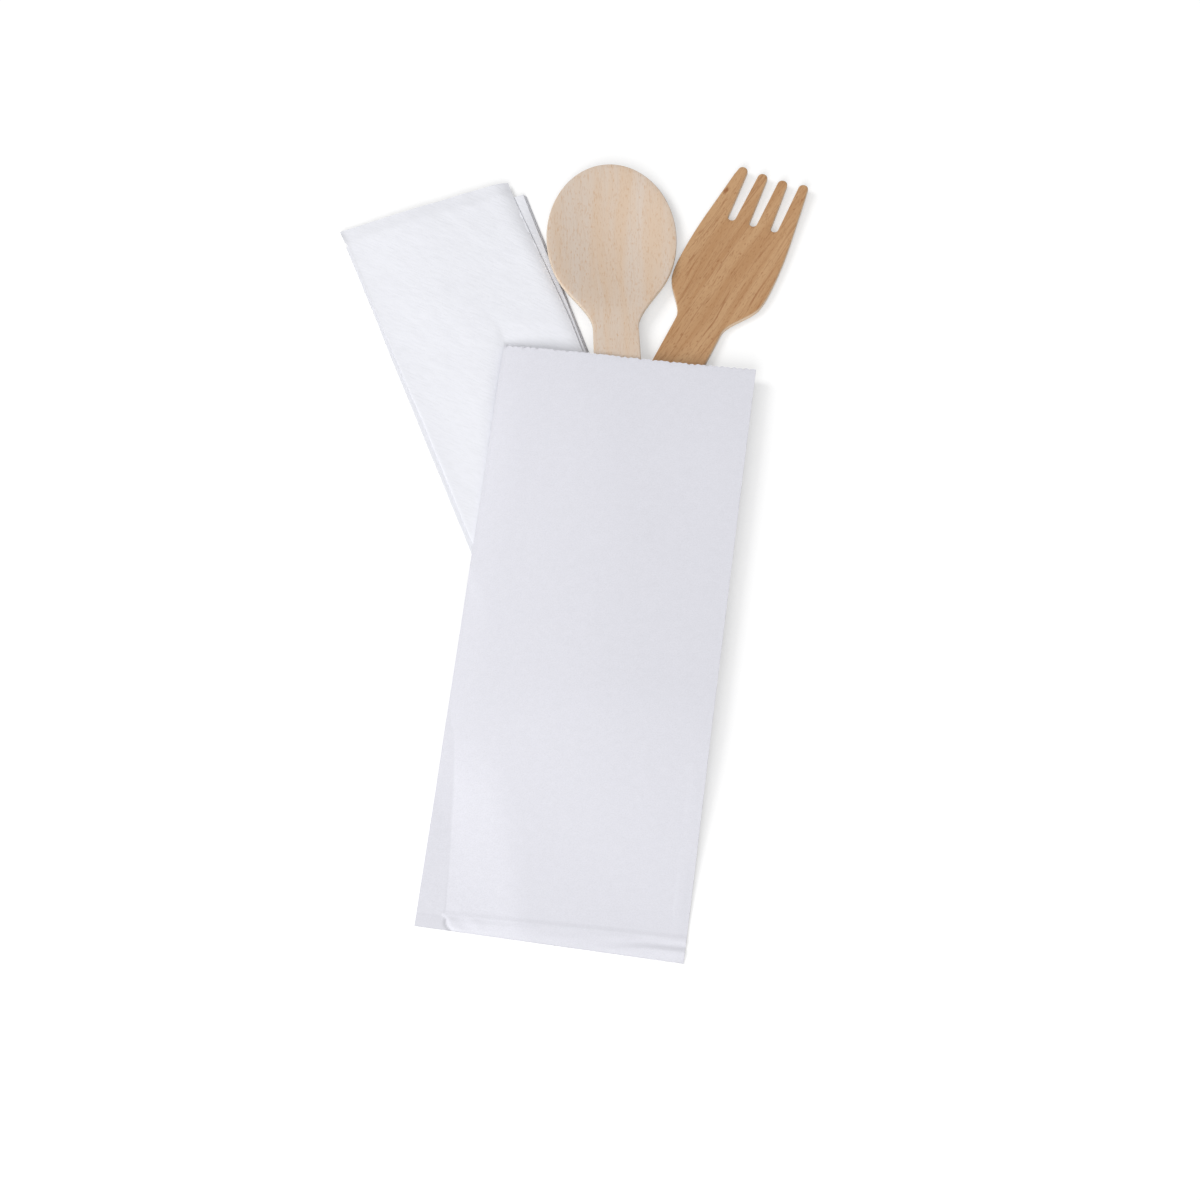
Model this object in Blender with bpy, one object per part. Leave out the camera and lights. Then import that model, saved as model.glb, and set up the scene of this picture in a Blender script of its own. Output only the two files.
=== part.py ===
"""Disposable cutlery set: a wooden spoon and fork in a white paper pouch, lying on a folded tissue napkin.

Metres, +Z up, and the table is z = 0. Plan positions are measured from the middle of the pouch's mouth,
and the finished set is centred on the origin. Each piece is drawn in its own plan frame:

- pouch: +Y leaves the mouth, and depth is counted from the mouth towards the foot
- spoon and fork: the tip is at the origin, +Y points out of the pouch, and reach is counted from the tip
- napkin: the inner layers' top left corner is at the origin, and the layers run towards -Y
"""

import math

import bmesh
import bpy

# Clearances
REST_GAP = 0.0003  # between two pieces that lie on each other
TABLE_GAP = 0.0001  # under the bellies of the spoon and the fork
HEAD_GAP = 0.0003  # between the spoon's bowl and the fork's head, side by side
CREASE_GAP = 0.0001  # the least hollow between the pouch's two walls
CREASE_SOLID = 0.0006  # paper without a hollow at each side crease

# Paper pouch
POUCH_ANGLE = math.radians(-6.76)
MOUTH_WIDTH = 0.0663
FOOT_WIDTH = 0.0678
POUCH_LENGTH = 0.1743
PAPER = 0.0002
FOOT_SKEW = math.tan(math.radians(-2.4))
MOUTH_SKEW = math.tan(math.radians(-0.7))
MOUTH_SAG = 0.0004
TOOTH_PITCH = 0.0018
TOOTH_DEPTH = 0.0004
HEM_HEIGHT = 0.0053
HEM_STEP = 0.00025
FOOT_LIFT = 0.0009
SEAM_WIDTH = 0.0070
SEAM_WIDTH_ABOVE = 0.0008
SEAM_LENGTH = 0.0550
SEAM_EDGE = 0.0010
CROWN_SLACK = 0.0004
CROWN_AT_MOUTH = -0.10  # where the crown's middle lies, as a share of half the width
CROWN_AT_END = 0.26
CROWN_POWER = 2.8
SIDE_ROLL = 0.0042
DRAPE_START = 0.0020
DRAPE_END = 0.0080
LEFT_SHARE_MOUTH = 0.68
LEFT_SHARE_DEEP = 0.45
RIGHT_SHARE_MOUTH = 0.86
RIGHT_SHARE_DEEP = 0.56

# Birch plates that the spoon and the fork are pressed from
WOOD = 0.0015
CUTLERY_LENGTH = 0.160
HANDLE_END_WIDTH = 0.0145
HANDLE_WIDEST = 0.150  # reach at which the handle is widest, before its round end

# Spoon
SPOON_ANGLE = math.radians(2.2)
SPOON_OUT = 0.0614  # tip to mouth, along the spoon
SPOON_AT_MOUTH = (-0.0033, 0.0010)
BOWL_WIDTH = 0.0343
BOWL_LENGTH = 0.048
BOWL_DEPTH = 0.0020
BOWL_POWER = 1.5
SPOON_NECK_WIDTH = 0.0120
SPOON_SHOULDER = 0.040
SPOON_NECK = 0.053
SPOON_BEND_START = 0.020
SPOON_BEND_END = 0.092

# Fork
FORK_ANGLE = math.radians(-23.5)
FORK_OUT = 0.0645
FORK_MOUTH_Y = -0.0007
HEAD_WIDTH = 0.0262
TIP_WIDTH = 0.0196
HEAD_WIDEST = 0.034
FORK_NECK_WIDTH = 0.0130
SHOULDER_WIDTH = 0.0253
FORK_SHOULDER = 0.039
FORK_NECK = 0.052
TINES = 4
TINE_LENGTH = 0.0170
LAST_TINE_EXTRA = 0.0007
TIP_PITCH = 0.00566
ROOT_PITCH = 0.00595
SLOT_WIDTH = 0.0020  # at its round closed end
SLOT_MOUTH = 0.0030
TINE_RISE = 0.0010
HEAD_DISH = 0.0005
FORK_BELLY = 0.032
FORK_BEND_END = 0.098

# Tissue napkin, folded in half and then to and fro
NAPKIN_ANGLE = math.radians(19.54)
NAPKIN_AT = (-0.0746, 0.0375)
PLY = 0.0001
PLY_GAP = 0.00005
PANELS = 6
PANEL_WIDTH = 0.0495
FRONT_WIDTH = 0.0468
PANEL_SHIFT = 0.0008
NAPKIN_LENGTH = 0.148
FRONT_OVERHANG = 0.0039
SIDE_SKEW = math.tan(math.radians(1.1))

# Colours, as linear light
PAPER_COLOUR = (0.775, 0.775, 0.830)
TISSUE_COLOUR = (0.863, 0.871, 0.913)
SPOON_COLOUR = (0.665, 0.533, 0.423)
FORK_COLOUR = (0.485, 0.279, 0.144)

# Mesh fineness
SHARP_ANGLE = math.radians(35)
POUCH_COLUMNS = 18
POUCH_ROWS = 32
CELL = 0.003
CELL_WIDTH = 0.0045
HANDLE_CELL = 0.012
HANDLE_STEPS = 4
HEAD_STEPS = 60
ARC_STEPS = 6
PANEL_STEPS = 3
LENGTH_STEPS = 3

PAIR = 2 * PLY + PLY_GAP
NAPKIN_STACK = PANELS * PAIR + (PANELS - 1) * PLY_GAP
BACK_REST = NAPKIN_STACK + REST_GAP
FORK_REST = BACK_REST + PAPER + REST_GAP
SPOON_REST = FORK_REST + WOOD + REST_GAP
RIM_REST = max(NAPKIN_STACK + REST_GAP, BOWL_DEPTH + TABLE_GAP)
SIDE_HEIGHT = 2 * PAPER + CREASE_GAP


def clamp(value, low=0.0, high=1.0):
    return min(max(value, low), high)


def ease(value):
    """0 to 1 with level ends."""
    value = clamp(value)
    return value * value * (3 - 2 * value)


def mix(a, b, share):
    return a + (b - a) * share


def hermite(share, start, start_slope, end, end_slope, span):
    """Height of a curve between two points with given slopes."""
    square, cube = share**2, share**3
    return (
        (2 * cube - 3 * square + 1) * start
        + (cube - 2 * square + share) * span * start_slope
        + (3 * square - 2 * cube) * end
        + (cube - square) * span * end_slope
    )


def turned(point, angle, origin=(0.0, 0.0)):
    """A plan point of a piece's own frame on the table."""
    x, y = point
    cos, sin = math.cos(angle), math.sin(angle)
    return (origin[0] + x * cos - y * sin, origin[1] + x * sin + y * cos)


def turned_back(point, angle, origin):
    """A table point in a piece's own plan frame."""
    return turned((point[0] - origin[0], point[1] - origin[1]), -angle)


def handle_half_width(reach, neck, neck_width):
    """Half the handle's width, which grows from the neck and ends in a round."""
    widest = min(HANDLE_WIDEST, CUTLERY_LENGTH - HANDLE_END_WIDTH / 2)
    if reach <= widest:
        share = clamp((reach - neck) / (widest - neck))
        return mix(neck_width, HANDLE_END_WIDTH, share) / 2
    end = clamp((reach - widest) / (CUTLERY_LENGTH - widest))
    return HANDLE_END_WIDTH / 2 * math.sqrt(1 - end**2)


def bowl_half_width(reach):
    """Half the width of the oval that the bowl is cut to."""
    along = (reach - BOWL_LENGTH / 2) / (BOWL_LENGTH / 2)
    return BOWL_WIDTH / 2 * math.sqrt(max(0.0, 1 - along**2))


def spoon_half_width(reach):
    """Half the spoon's width: an ellipse, a hollow shoulder and the handle."""
    if reach <= SPOON_SHOULDER:
        return bowl_half_width(reach)
    if reach >= SPOON_NECK:
        return handle_half_width(reach, SPOON_NECK, SPOON_NECK_WIDTH)
    start = bowl_half_width(SPOON_SHOULDER)
    slope = -((BOWL_WIDTH / BOWL_LENGTH) ** 2) * (SPOON_SHOULDER - BOWL_LENGTH / 2) / start
    span = SPOON_NECK - SPOON_SHOULDER
    share = (reach - SPOON_SHOULDER) / span
    return hermite(share, start, slope, SPOON_NECK_WIDTH / 2, 0.0, span)


def fork_half_width(reach):
    """Half the width of the fork's blank: straight along the tines, then swelling to its widest."""
    widest = HEAD_WIDTH / 2
    span = HEAD_WIDEST - TINE_LENGTH
    swell = (widest - TIP_WIDTH / 2) / (span**2 + 2 * span * TINE_LENGTH)
    narrowing = (widest - SHOULDER_WIDTH / 2) / (FORK_SHOULDER - HEAD_WIDEST) ** 2
    if reach < TINE_LENGTH:
        return TIP_WIDTH / 2 + 2 * swell * span * reach
    if reach < HEAD_WIDEST:
        return widest - swell * (HEAD_WIDEST - reach) ** 2
    if reach < FORK_SHOULDER:
        return widest - narrowing * (reach - HEAD_WIDEST) ** 2
    if reach >= FORK_NECK:
        return handle_half_width(reach, FORK_NECK, FORK_NECK_WIDTH)
    slope = -2 * narrowing * (FORK_SHOULDER - HEAD_WIDEST)
    neck = FORK_NECK - FORK_SHOULDER
    share = (reach - FORK_SHOULDER) / neck
    return hermite(share, SHOULDER_WIDTH / 2, slope, FORK_NECK_WIDTH / 2, 0.0, neck)


def spoon_underside(x, reach):
    """Height of the spoon's underside: level in the pouch, lower at the rim, lowest in the bowl."""
    level = mix(RIM_REST, SPOON_REST, ease((reach - SPOON_BEND_START) / (SPOON_BEND_END - SPOON_BEND_START)))
    across = x / (BOWL_WIDTH / 2)
    along = (reach - BOWL_LENGTH / 2) / (BOWL_LENGTH / 2)
    inside = max(0.0, 1 - across**2 - along**2)
    return level - BOWL_DEPTH * inside**BOWL_POWER


def fork_underside(x, reach):
    """Height of the fork's underside: level in the pouch, down to its belly, up again at the tines."""
    if reach >= FORK_BELLY:
        level = mix(TABLE_GAP, FORK_REST, ease((reach - FORK_BELLY) / (FORK_BEND_END - FORK_BELLY)))
    else:
        level = TABLE_GAP + TINE_RISE * (1 - reach / FORK_BELLY) ** 2
    head = 1 - ease((reach - FORK_BELLY) / (FORK_NECK - FORK_BELLY))
    return level + HEAD_DISH * head * (x / (HEAD_WIDTH / 2)) ** 2


def spoon_tip():
    reach = turned((0.0, SPOON_OUT), SPOON_ANGLE)
    return (SPOON_AT_MOUTH[0] + reach[0], SPOON_AT_MOUTH[1] + reach[1])


def fork_tip():
    """The fork's tip, as far to the right as its head needs to clear the spoon's bowl."""
    reach = turned((0.0, FORK_OUT), FORK_ANGLE, (0.0, FORK_MOUTH_Y))
    steps = [FORK_NECK * i / HEAD_STEPS for i in range(HEAD_STEPS + 1)]
    bowl = [turned((spoon_half_width(at), -at), SPOON_ANGLE, spoon_tip()) for at in steps]
    shift = -math.inf
    for at in steps:
        x, y = turned((-fork_half_width(at), -at), FORK_ANGLE, reach)
        for (x_a, y_a), (x_b, y_b) in zip(bowl, bowl[1:]):
            if min(y_a, y_b) <= y <= max(y_a, y_b) and y_a != y_b:
                rim = mix(x_a, x_b, (y - y_a) / (y_b - y_a))
                shift = max(shift, rim + HEAD_GAP - x)
    return (reach[0] + shift, reach[1])


def over_napkin(x, y):
    """1 where the napkin lies below a table point, 0 where the pouch has come down to the table."""
    u, v = turned_back((x, y), NAPKIN_ANGLE, NAPKIN_AT)
    right = PANEL_WIDTH + PANEL_SHIFT + SIDE_SKEW * v
    outside = max(-u, u - right, v, -v - NAPKIN_LENGTH)
    return 1 - ease((outside - DRAPE_START) / (DRAPE_END - DRAPE_START))


def half_width(depth):
    return mix(MOUTH_WIDTH, FOOT_WIDTH, depth / POUCH_LENGTH) / 2


def seam_share(depth):
    """0 above the open part of the side seam, 1 at the hem."""
    hem = POUCH_LENGTH - HEM_HEIGHT
    return math.sqrt(clamp((depth - (hem - SEAM_LENGTH)) / SEAM_LENGTH))


def seam_width(depth):
    """Width of the flat glued strip along the left side."""
    return mix(SEAM_WIDTH_ABOVE, SEAM_WIDTH, seam_share(depth))


def ridge_height(depth):
    """Top of the pouch along its middle: over the spoon's handle, then down to the foot."""
    reach = SPOON_OUT + max(0.0, depth)
    cover = WOOD + REST_GAP + PAPER + CROWN_SLACK
    if reach <= CUTLERY_LENGTH:
        return spoon_underside(0.0, max(reach, BOWL_LENGTH)) + cover
    end = CUTLERY_LENGTH - SPOON_OUT
    hem = POUCH_LENGTH - HEM_HEIGHT
    return mix(SPOON_REST + cover, FOOT_LIFT, ease((depth - end) / (hem - end)))


def front_top(u, depth):
    """Height of the front panel's outer face."""
    ridge = ridge_height(depth)
    deep = clamp(depth / (CUTLERY_LENGTH - SPOON_OUT))
    left = ridge * mix(LEFT_SHARE_MOUTH, LEFT_SHARE_DEEP, deep)
    right = ridge * mix(RIGHT_SHARE_MOUTH, RIGHT_SHARE_DEEP, deep)
    half = half_width(depth)
    seam = -half + seam_width(depth)
    middle = mix(CROWN_AT_MOUTH, CROWN_AT_END, deep) * half
    if u < middle:
        share = clamp((u - seam) / (middle - seam))
        height = mix(left, ridge, math.sin(share * math.pi / 2))
    else:
        share = clamp((u - middle) / (half - middle))
        height = mix(ridge, right, share**CROWN_POWER)
    flap = mix(left, base_height(u, depth) + SIDE_HEIGHT, seam_share(depth))
    height = mix(flap, height, clamp((u - seam) / SEAM_EDGE))
    if depth > POUCH_LENGTH - HEM_HEIGHT:
        height += HEM_STEP
    return max(height, base_height(u, depth) + SIDE_HEIGHT)


def base_height(u, depth):
    """Height at which the back panel lies: on the napkin or on the table."""
    x, y = turned((u, -depth), POUCH_ANGLE)
    return BACK_REST * over_napkin(x, y)


def back_bottom(u, depth):
    """Height of the back panel's outer face, which rolls up to the creases at both sides."""
    half = half_width(depth)
    base = base_height(u, depth)
    roll = clamp(1 - (half - abs(u)) / SIDE_ROLL) ** 2
    side = math.copysign(half, u)
    crease = front_top(side, depth) - SIDE_HEIGHT
    return max(base, mix(base, crease, roll)) if crease > base else base


def mouth_depth(u):
    """The saw-cut edge of the mouth: slightly askew, sagging in the middle, with fine teeth."""
    half = MOUTH_WIDTH / 2
    phase = (u + half) / TOOTH_PITCH
    tooth = abs(phase - round(phase)) * 2
    sag = MOUTH_SAG * (1 - (u / half) ** 2)
    return -MOUTH_SKEW * u + sag + TOOTH_DEPTH * tooth


def foot_depth(u):
    return POUCH_LENGTH - FOOT_SKEW * u


def new_material(name, colour, roughness):
    material = bpy.data.materials.new(name)
    material.use_nodes = True
    shader = material.node_tree.nodes["Principled BSDF"]
    shader.inputs["Base Color"].default_value = (*colour, 1.0)
    shader.inputs["Roughness"].default_value = roughness
    shader.inputs["Metallic"].default_value = 0.0
    return material


def new_piece(name, bm, material, place, angle, parent):
    """Puts a finished mesh into the scene as one named piece."""
    bmesh.ops.recalc_face_normals(bm, faces=bm.faces)
    mesh = bpy.data.meshes.new(name)
    bm.to_mesh(mesh)
    bm.free()
    mesh.shade_smooth()
    mesh.set_sharp_from_angle(angle=SHARP_ANGLE)
    mesh.materials.append(material)
    piece = bpy.data.objects.new(name, mesh)
    bpy.context.collection.objects.link(piece)
    piece.location = (place[0], place[1], 0.0)
    piece.rotation_euler = (0.0, 0.0, angle)
    piece.parent = parent
    return piece


def pouch_row(depth):
    """Plan positions across the pouch, from the left crease to the right one."""
    half = half_width(depth)
    seam = -half + seam_width(depth)
    inner = seam + SEAM_EDGE
    columns = [mix(inner, half, i / POUCH_COLUMNS) for i in range(POUCH_COLUMNS + 1)]
    return [-half, seam] + columns


def mouth_row():
    """Plan positions along the mouth, and whether each is a column of the row behind or only a tooth's."""
    half = MOUTH_WIDTH / 2
    columns = pouch_row(0.0)
    count = int(MOUTH_WIDTH / TOOTH_PITCH * 2)
    too_close = TOOTH_PITCH / 8
    stations = [(u, True) for u in columns]
    for i in range(1, count + 1):
        u = -half + i * TOOTH_PITCH / 2
        if all(abs(u - column) > too_close for column in columns):
            stations.append((u, False))
    return sorted(stations, key=lambda station: station[0])


def build_pouch(parent):
    """One folded sheet as a shell: front and back walls, creased sides, a folded hem and an open mouth."""
    hem = POUCH_LENGTH - HEM_HEIGHT
    depths = [hem * (1 - i / POUCH_ROWS) for i in range(POUCH_ROWS)]
    inset = 1 - CREASE_SOLID / (MOUTH_WIDTH / 2)
    stations = mouth_row()
    bm = bmesh.new()

    def wall(height, offset, narrow, with_hem):
        """Rows of points of one face of one wall, from the foot to the mouth."""
        rows = []
        if with_hem:
            rows.append([(u, foot_depth(u), POUCH_LENGTH) for u in pouch_row(POUCH_LENGTH)])
            rows.append([(u, hem + HEM_STEP, hem + HEM_STEP) for u in pouch_row(hem)])
        rows += [[(u, depth, depth) for u in pouch_row(depth)] for depth in depths]
        rows.append([(u, mouth_depth(u), 0.0) for u, _ in stations])
        return [
            [bm.verts.new((u * narrow, -at, height(u, depth) + offset)) for u, at, depth in row]
            for row in rows
        ]

    def skin(rows):
        """Faces between the rows. The last row has more points than the one before it."""
        for low, high in zip(rows[:-2], rows[1:-1]):
            for i in range(len(low) - 1):
                bm.faces.new((low[i], low[i + 1], high[i + 1], high[i]))
        marks = [at for at, (_, is_column) in enumerate(stations) if is_column]
        last = rows[-2]
        for i, (start, end) in enumerate(zip(marks, marks[1:])):
            edge = rows[-1][start : end + 1]
            bm.faces.new([last[i], last[i + 1]] + edge[::-1])

    def strip(first, second):
        for i in range(len(first) - 1):
            bm.faces.new((first[i], first[i + 1], second[i + 1], second[i]))

    front = wall(front_top, 0.0, 1.0, True)
    back = wall(back_bottom, 0.0, 1.0, True)
    front_inner = wall(front_top, -PAPER, inset, False)
    back_inner = wall(back_bottom, PAPER, inset, False)
    for rows in (front, back, front_inner, back_inner):
        skin(rows)
    for upper, lower in ((front, back), (front_inner, back_inner)):
        strip(upper[0], lower[0])
        for side in (0, -1):
            strip([row[side] for row in upper], [row[side] for row in lower])
    strip(front[-1], front_inner[-1])
    strip(back[-1], back_inner[-1])
    for side in (0, -1):
        ends = (front[-1][side], back[-1][side], back_inner[-1][side], front_inner[-1][side])
        bm.faces.new(ends)
    paper = new_material("paper", PAPER_COLOUR, 0.85)
    return new_piece("pouch", bm, paper, (0.0, 0.0), POUCH_ANGLE, parent)


def pressed_plate(outline, underside, head_reach):
    """A blank of the given outline, pressed so that its lower face follows the given underside."""
    flat = bmesh.new()
    flat.faces.new([flat.verts.new((x, y, 0.0)) for x, y in outline])
    bmesh.ops.triangulate(flat, faces=flat.faces)
    across = int(max(x for x, _ in outline) / CELL_WIDTH)
    head_cuts = int(head_reach / CELL)
    handle_cuts = int((CUTLERY_LENGTH - head_reach) / HANDLE_CELL)
    reaches = [CELL * i for i in range(1, head_cuts + 1)]
    reaches += [head_reach + HANDLE_CELL * i for i in range(handle_cuts)]
    planes = [((0.0, -reach, 0.0), (0.0, 1.0, 0.0)) for reach in reaches]
    planes += [((CELL_WIDTH * i, 0.0, 0.0), (1.0, 0.0, 0.0)) for i in range(-across, across + 1)]
    for point, normal in planes:
        parts = flat.verts[:] + flat.edges[:] + flat.faces[:]
        bmesh.ops.bisect_plane(flat, geom=parts, dist=1e-6, plane_co=point, plane_no=normal)
    bm = bmesh.new()
    lower, upper = {}, {}
    for vert in flat.verts:
        x, y = vert.co.x, vert.co.y
        height = underside(x, -y)
        lower[vert] = bm.verts.new((x, y, height))
        upper[vert] = bm.verts.new((x, y, height + WOOD))
    for face in flat.faces:
        bm.faces.new([upper[vert] for vert in face.verts])
        bm.faces.new([lower[vert] for vert in reversed(face.verts)])
    for edge in flat.edges:
        if edge.is_boundary:
            a, b = edge.verts
            bm.faces.new((lower[a], lower[b], upper[b], upper[a]))
    flat.free()
    return bm


def handle_reaches(start):
    """Reaches at which a handle's outline has points, closer together along its round end."""
    widest = min(HANDLE_WIDEST, CUTLERY_LENGTH - HANDLE_END_WIDTH / 2)
    quarter = math.pi / 2 / ARC_STEPS
    end = [mix(widest, CUTLERY_LENGTH, math.sin(quarter * i)) for i in range(ARC_STEPS)]
    return [mix(start, widest, i / HANDLE_STEPS) for i in range(HANDLE_STEPS)] + end


def head_reaches(start, shoulder, neck):
    """Reaches at which a head's outline has points, from its start to the handle's neck."""
    steps = int((shoulder - start) / CELL)
    along = [mix(start, shoulder, i / steps) for i in range(steps)]
    return along + [mix(shoulder, neck, i / ARC_STEPS) for i in range(ARC_STEPS)]


def build_spoon(parent):
    """The spoon: an oval bowl pressed into a flat blank, and a straight handle."""
    quarter = math.pi / 2 / (2 * ARC_STEPS)
    tip = [BOWL_LENGTH / 2 * (1 - math.cos(quarter * i)) for i in range(1, 2 * ARC_STEPS)]
    reaches = tip + head_reaches(BOWL_LENGTH / 2, SPOON_SHOULDER, SPOON_NECK) + handle_reaches(SPOON_NECK)
    right = [(spoon_half_width(reach), -reach) for reach in reaches]
    left = [(-x, y) for x, y in reversed(right)]
    outline = [(0.0, 0.0)] + right + [(0.0, -CUTLERY_LENGTH)] + left
    bm = pressed_plate(outline, spoon_underside, SPOON_NECK)
    birch = new_material("pale_birch", SPOON_COLOUR, 0.65)
    return new_piece("spoon", bm, birch, spoon_tip(), SPOON_ANGLE, parent)


def slot_side(slot, side, reach):
    """Plan position of one side of a slot: -1 is its left side and 1 its right one."""
    share = reach / TINE_LENGTH
    centre = (slot - (TINES - 2) / 2) * mix(TIP_PITCH, ROOT_PITCH, share)
    return centre + side * mix(SLOT_MOUTH, SLOT_WIDTH, share) / 2


def tine_tip(tine):
    """Points of a tine's round end, from its left side to its right one."""
    left = -fork_half_width(0.0) if tine == 0 else slot_side(tine - 1, 1, 0.0)
    right = fork_half_width(0.0) if tine == TINES - 1 else slot_side(tine, -1, 0.0)
    radius = (right - left) / 2
    middle = (right + left) / 2
    top = LAST_TINE_EXTRA if tine == TINES - 1 else 0.0
    turns = [math.pi * i / ARC_STEPS for i in range(ARC_STEPS + 1)]
    return [(middle - radius * math.cos(turn), top - radius * (1 - math.sin(turn))) for turn in turns]


def slot_end(slot):
    """Points of a slot's round closed end, from its left side to its right one."""
    radius = SLOT_WIDTH / 2
    reach = TINE_LENGTH - radius
    middle = (slot_side(slot, -1, reach) + slot_side(slot, 1, reach)) / 2
    turns = [math.pi * i / ARC_STEPS for i in range(ARC_STEPS + 1)]
    return [(middle - radius * math.cos(turn), -reach - radius * math.sin(turn)) for turn in turns]


def build_fork(parent):
    """The fork: a flat head with slots between its tines, a shallow belly and a straight handle."""
    reaches = head_reaches(CELL, FORK_SHOULDER, FORK_NECK) + handle_reaches(FORK_NECK)
    right = [(fork_half_width(reach), -reach) for reach in reaches]
    left = [(-x, y) for x, y in reversed(right)]
    head = tine_tip(0)
    for tine in range(1, TINES):
        head += slot_end(tine - 1) + tine_tip(tine)
    outline = head + right + [(0.0, -CUTLERY_LENGTH)] + left
    bm = pressed_plate(outline, fork_underside, FORK_NECK)
    birch = new_material("brown_birch", FORK_COLOUR, 0.6)
    return new_piece("fork", bm, birch, fork_tip(), FORK_ANGLE, parent)


def napkin_path():
    """Stations along the middle of the folded sheet: plan x, height, normal, and share of the front panel."""
    rise = PAIR + PLY_GAP
    radius = rise / 2
    right_edge = PANEL_WIDTH + PANEL_SHIFT
    path = []
    for panel in range(PANELS):
        height = PAIR / 2 + rise * panel
        leftward = (PANELS - 1 - panel) % 2 == 1
        behind = PANELS - 1 - panel
        left = PANEL_SHIFT * (behind // 2) / PANELS + radius
        right = right_edge - PANEL_SHIFT * ((behind + 1) // 2) / PANELS - radius
        if panel == PANELS - 1:
            right = FRONT_WIDTH
        start, end = (right, left) if leftward else (left, right)
        normal = -1.0 if leftward else 1.0
        front = 1.0 if panel == PANELS - 1 else 0.0
        for i in range(PANEL_STEPS + 1):
            path.append((mix(start, end, i / PANEL_STEPS), height, (0.0, normal), front))
        if panel == PANELS - 1:
            continue
        side = -1.0 if leftward else 1.0
        for i in range(1, ARC_STEPS):
            turn = math.pi * i / ARC_STEPS
            normal_at = (-math.sin(turn), normal * math.cos(turn))
            x = end + side * radius * math.sin(turn)
            z = height + radius * (1 - math.cos(turn))
            last_fold = panel == PANELS - 2
            path.append((x, z, normal_at, i / ARC_STEPS if last_fold else 0.0))
    return path


def napkin_loop(front):
    """Closed hairpin around the two plies, which join in the half fold: position along the panel, offset."""
    outer = PLY + PLY_GAP / 2
    inner = PLY_GAP / 2
    turn_at = outer - NAPKIN_LENGTH
    top = FRONT_OVERHANG * front
    turns = [math.pi * i / ARC_STEPS for i in range(ARC_STEPS + 1)]
    down = [(mix(top, turn_at, i / LENGTH_STEPS), outer) for i in range(LENGTH_STEPS)]
    around = [(turn_at - outer * math.sin(turn), outer * math.cos(turn)) for turn in turns]
    up = [(mix(turn_at, 0.0, i / LENGTH_STEPS), -outer) for i in range(1, LENGTH_STEPS + 1)]
    down_inner = [(mix(0.0, turn_at, i / LENGTH_STEPS), -inner) for i in range(LENGTH_STEPS)]
    around_inner = [(turn_at - inner * math.sin(turn), -inner * math.cos(turn)) for turn in turns]
    up_inner = [(mix(turn_at, top, i / LENGTH_STEPS), inner) for i in range(1, LENGTH_STEPS + 1)]
    return down + around + up + down_inner + around_inner + up_inner


def build_napkin(parent):
    """One square sheet, folded in half and then to and fro into a narrow stack."""
    right_edge = PANEL_WIDTH + PANEL_SHIFT
    bm = bmesh.new()
    loops = []
    for x, z, (normal_x, normal_z), front in napkin_path():
        loop = []
        for y, offset in napkin_loop(front):
            skewed = x + SIDE_SKEW * y * x / right_edge
            loop.append(bm.verts.new((skewed + normal_x * offset, y, z + normal_z * offset)))
        loops.append(loop)
    count = len(loops[0])
    for first, second in zip(loops, loops[1:]):
        for i in range(count):
            after = (i + 1) % count
            bm.faces.new((first[i], first[after], second[after], second[i]))
    bm.faces.new(loops[0])
    bm.faces.new(loops[-1])
    tissue = new_material("tissue", TISSUE_COLOUR, 0.95)
    return new_piece("napkin", bm, tissue, NAPKIN_AT, NAPKIN_ANGLE, parent)


def centre_on_origin(root, pieces):
    """Moves the whole set so that the middle of its plan box is over the origin."""
    bpy.context.view_layer.update()
    corners = [piece.matrix_world @ vert.co for piece in pieces for vert in piece.data.vertices]
    for axis in (0, 1):
        places = [corner[axis] for corner in corners]
        root.location[axis] = -(min(places) + max(places)) / 2


def main():
    for old in list(bpy.data.objects):
        bpy.data.objects.remove(old, do_unlink=True)
    root = bpy.data.objects.new("cutlery_set", None)
    bpy.context.collection.objects.link(root)
    pieces = [build(root) for build in (build_pouch, build_spoon, build_fork, build_napkin)]
    centre_on_origin(root, pieces)


if __name__ == "__main__":
    main()
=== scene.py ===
"""Looks of a disposable cutlery set: a wooden spoon and fork in a paper pouch, on a folded tissue napkin.

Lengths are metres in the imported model's frame: +Z is up, the table is z = 0, and +Y points away from the
viewer. Each piece is drawn in its own plan frame, and its mesh is then put in place:

- pouch: +Y leaves the mouth, and depth is counted from the mouth towards the foot
- spoon and fork: the tip is at the origin, and reach is counted from the tip along -Y
- napkin: the inner layers' top left corner is at the origin, and the layers run towards -Y
"""

from __future__ import annotations

import logging
import math
import random
from collections.abc import Callable
from dataclasses import dataclass, field
from enum import Enum

import bmesh
import bpy
from mathutils import Matrix, Vector, noise


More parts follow.
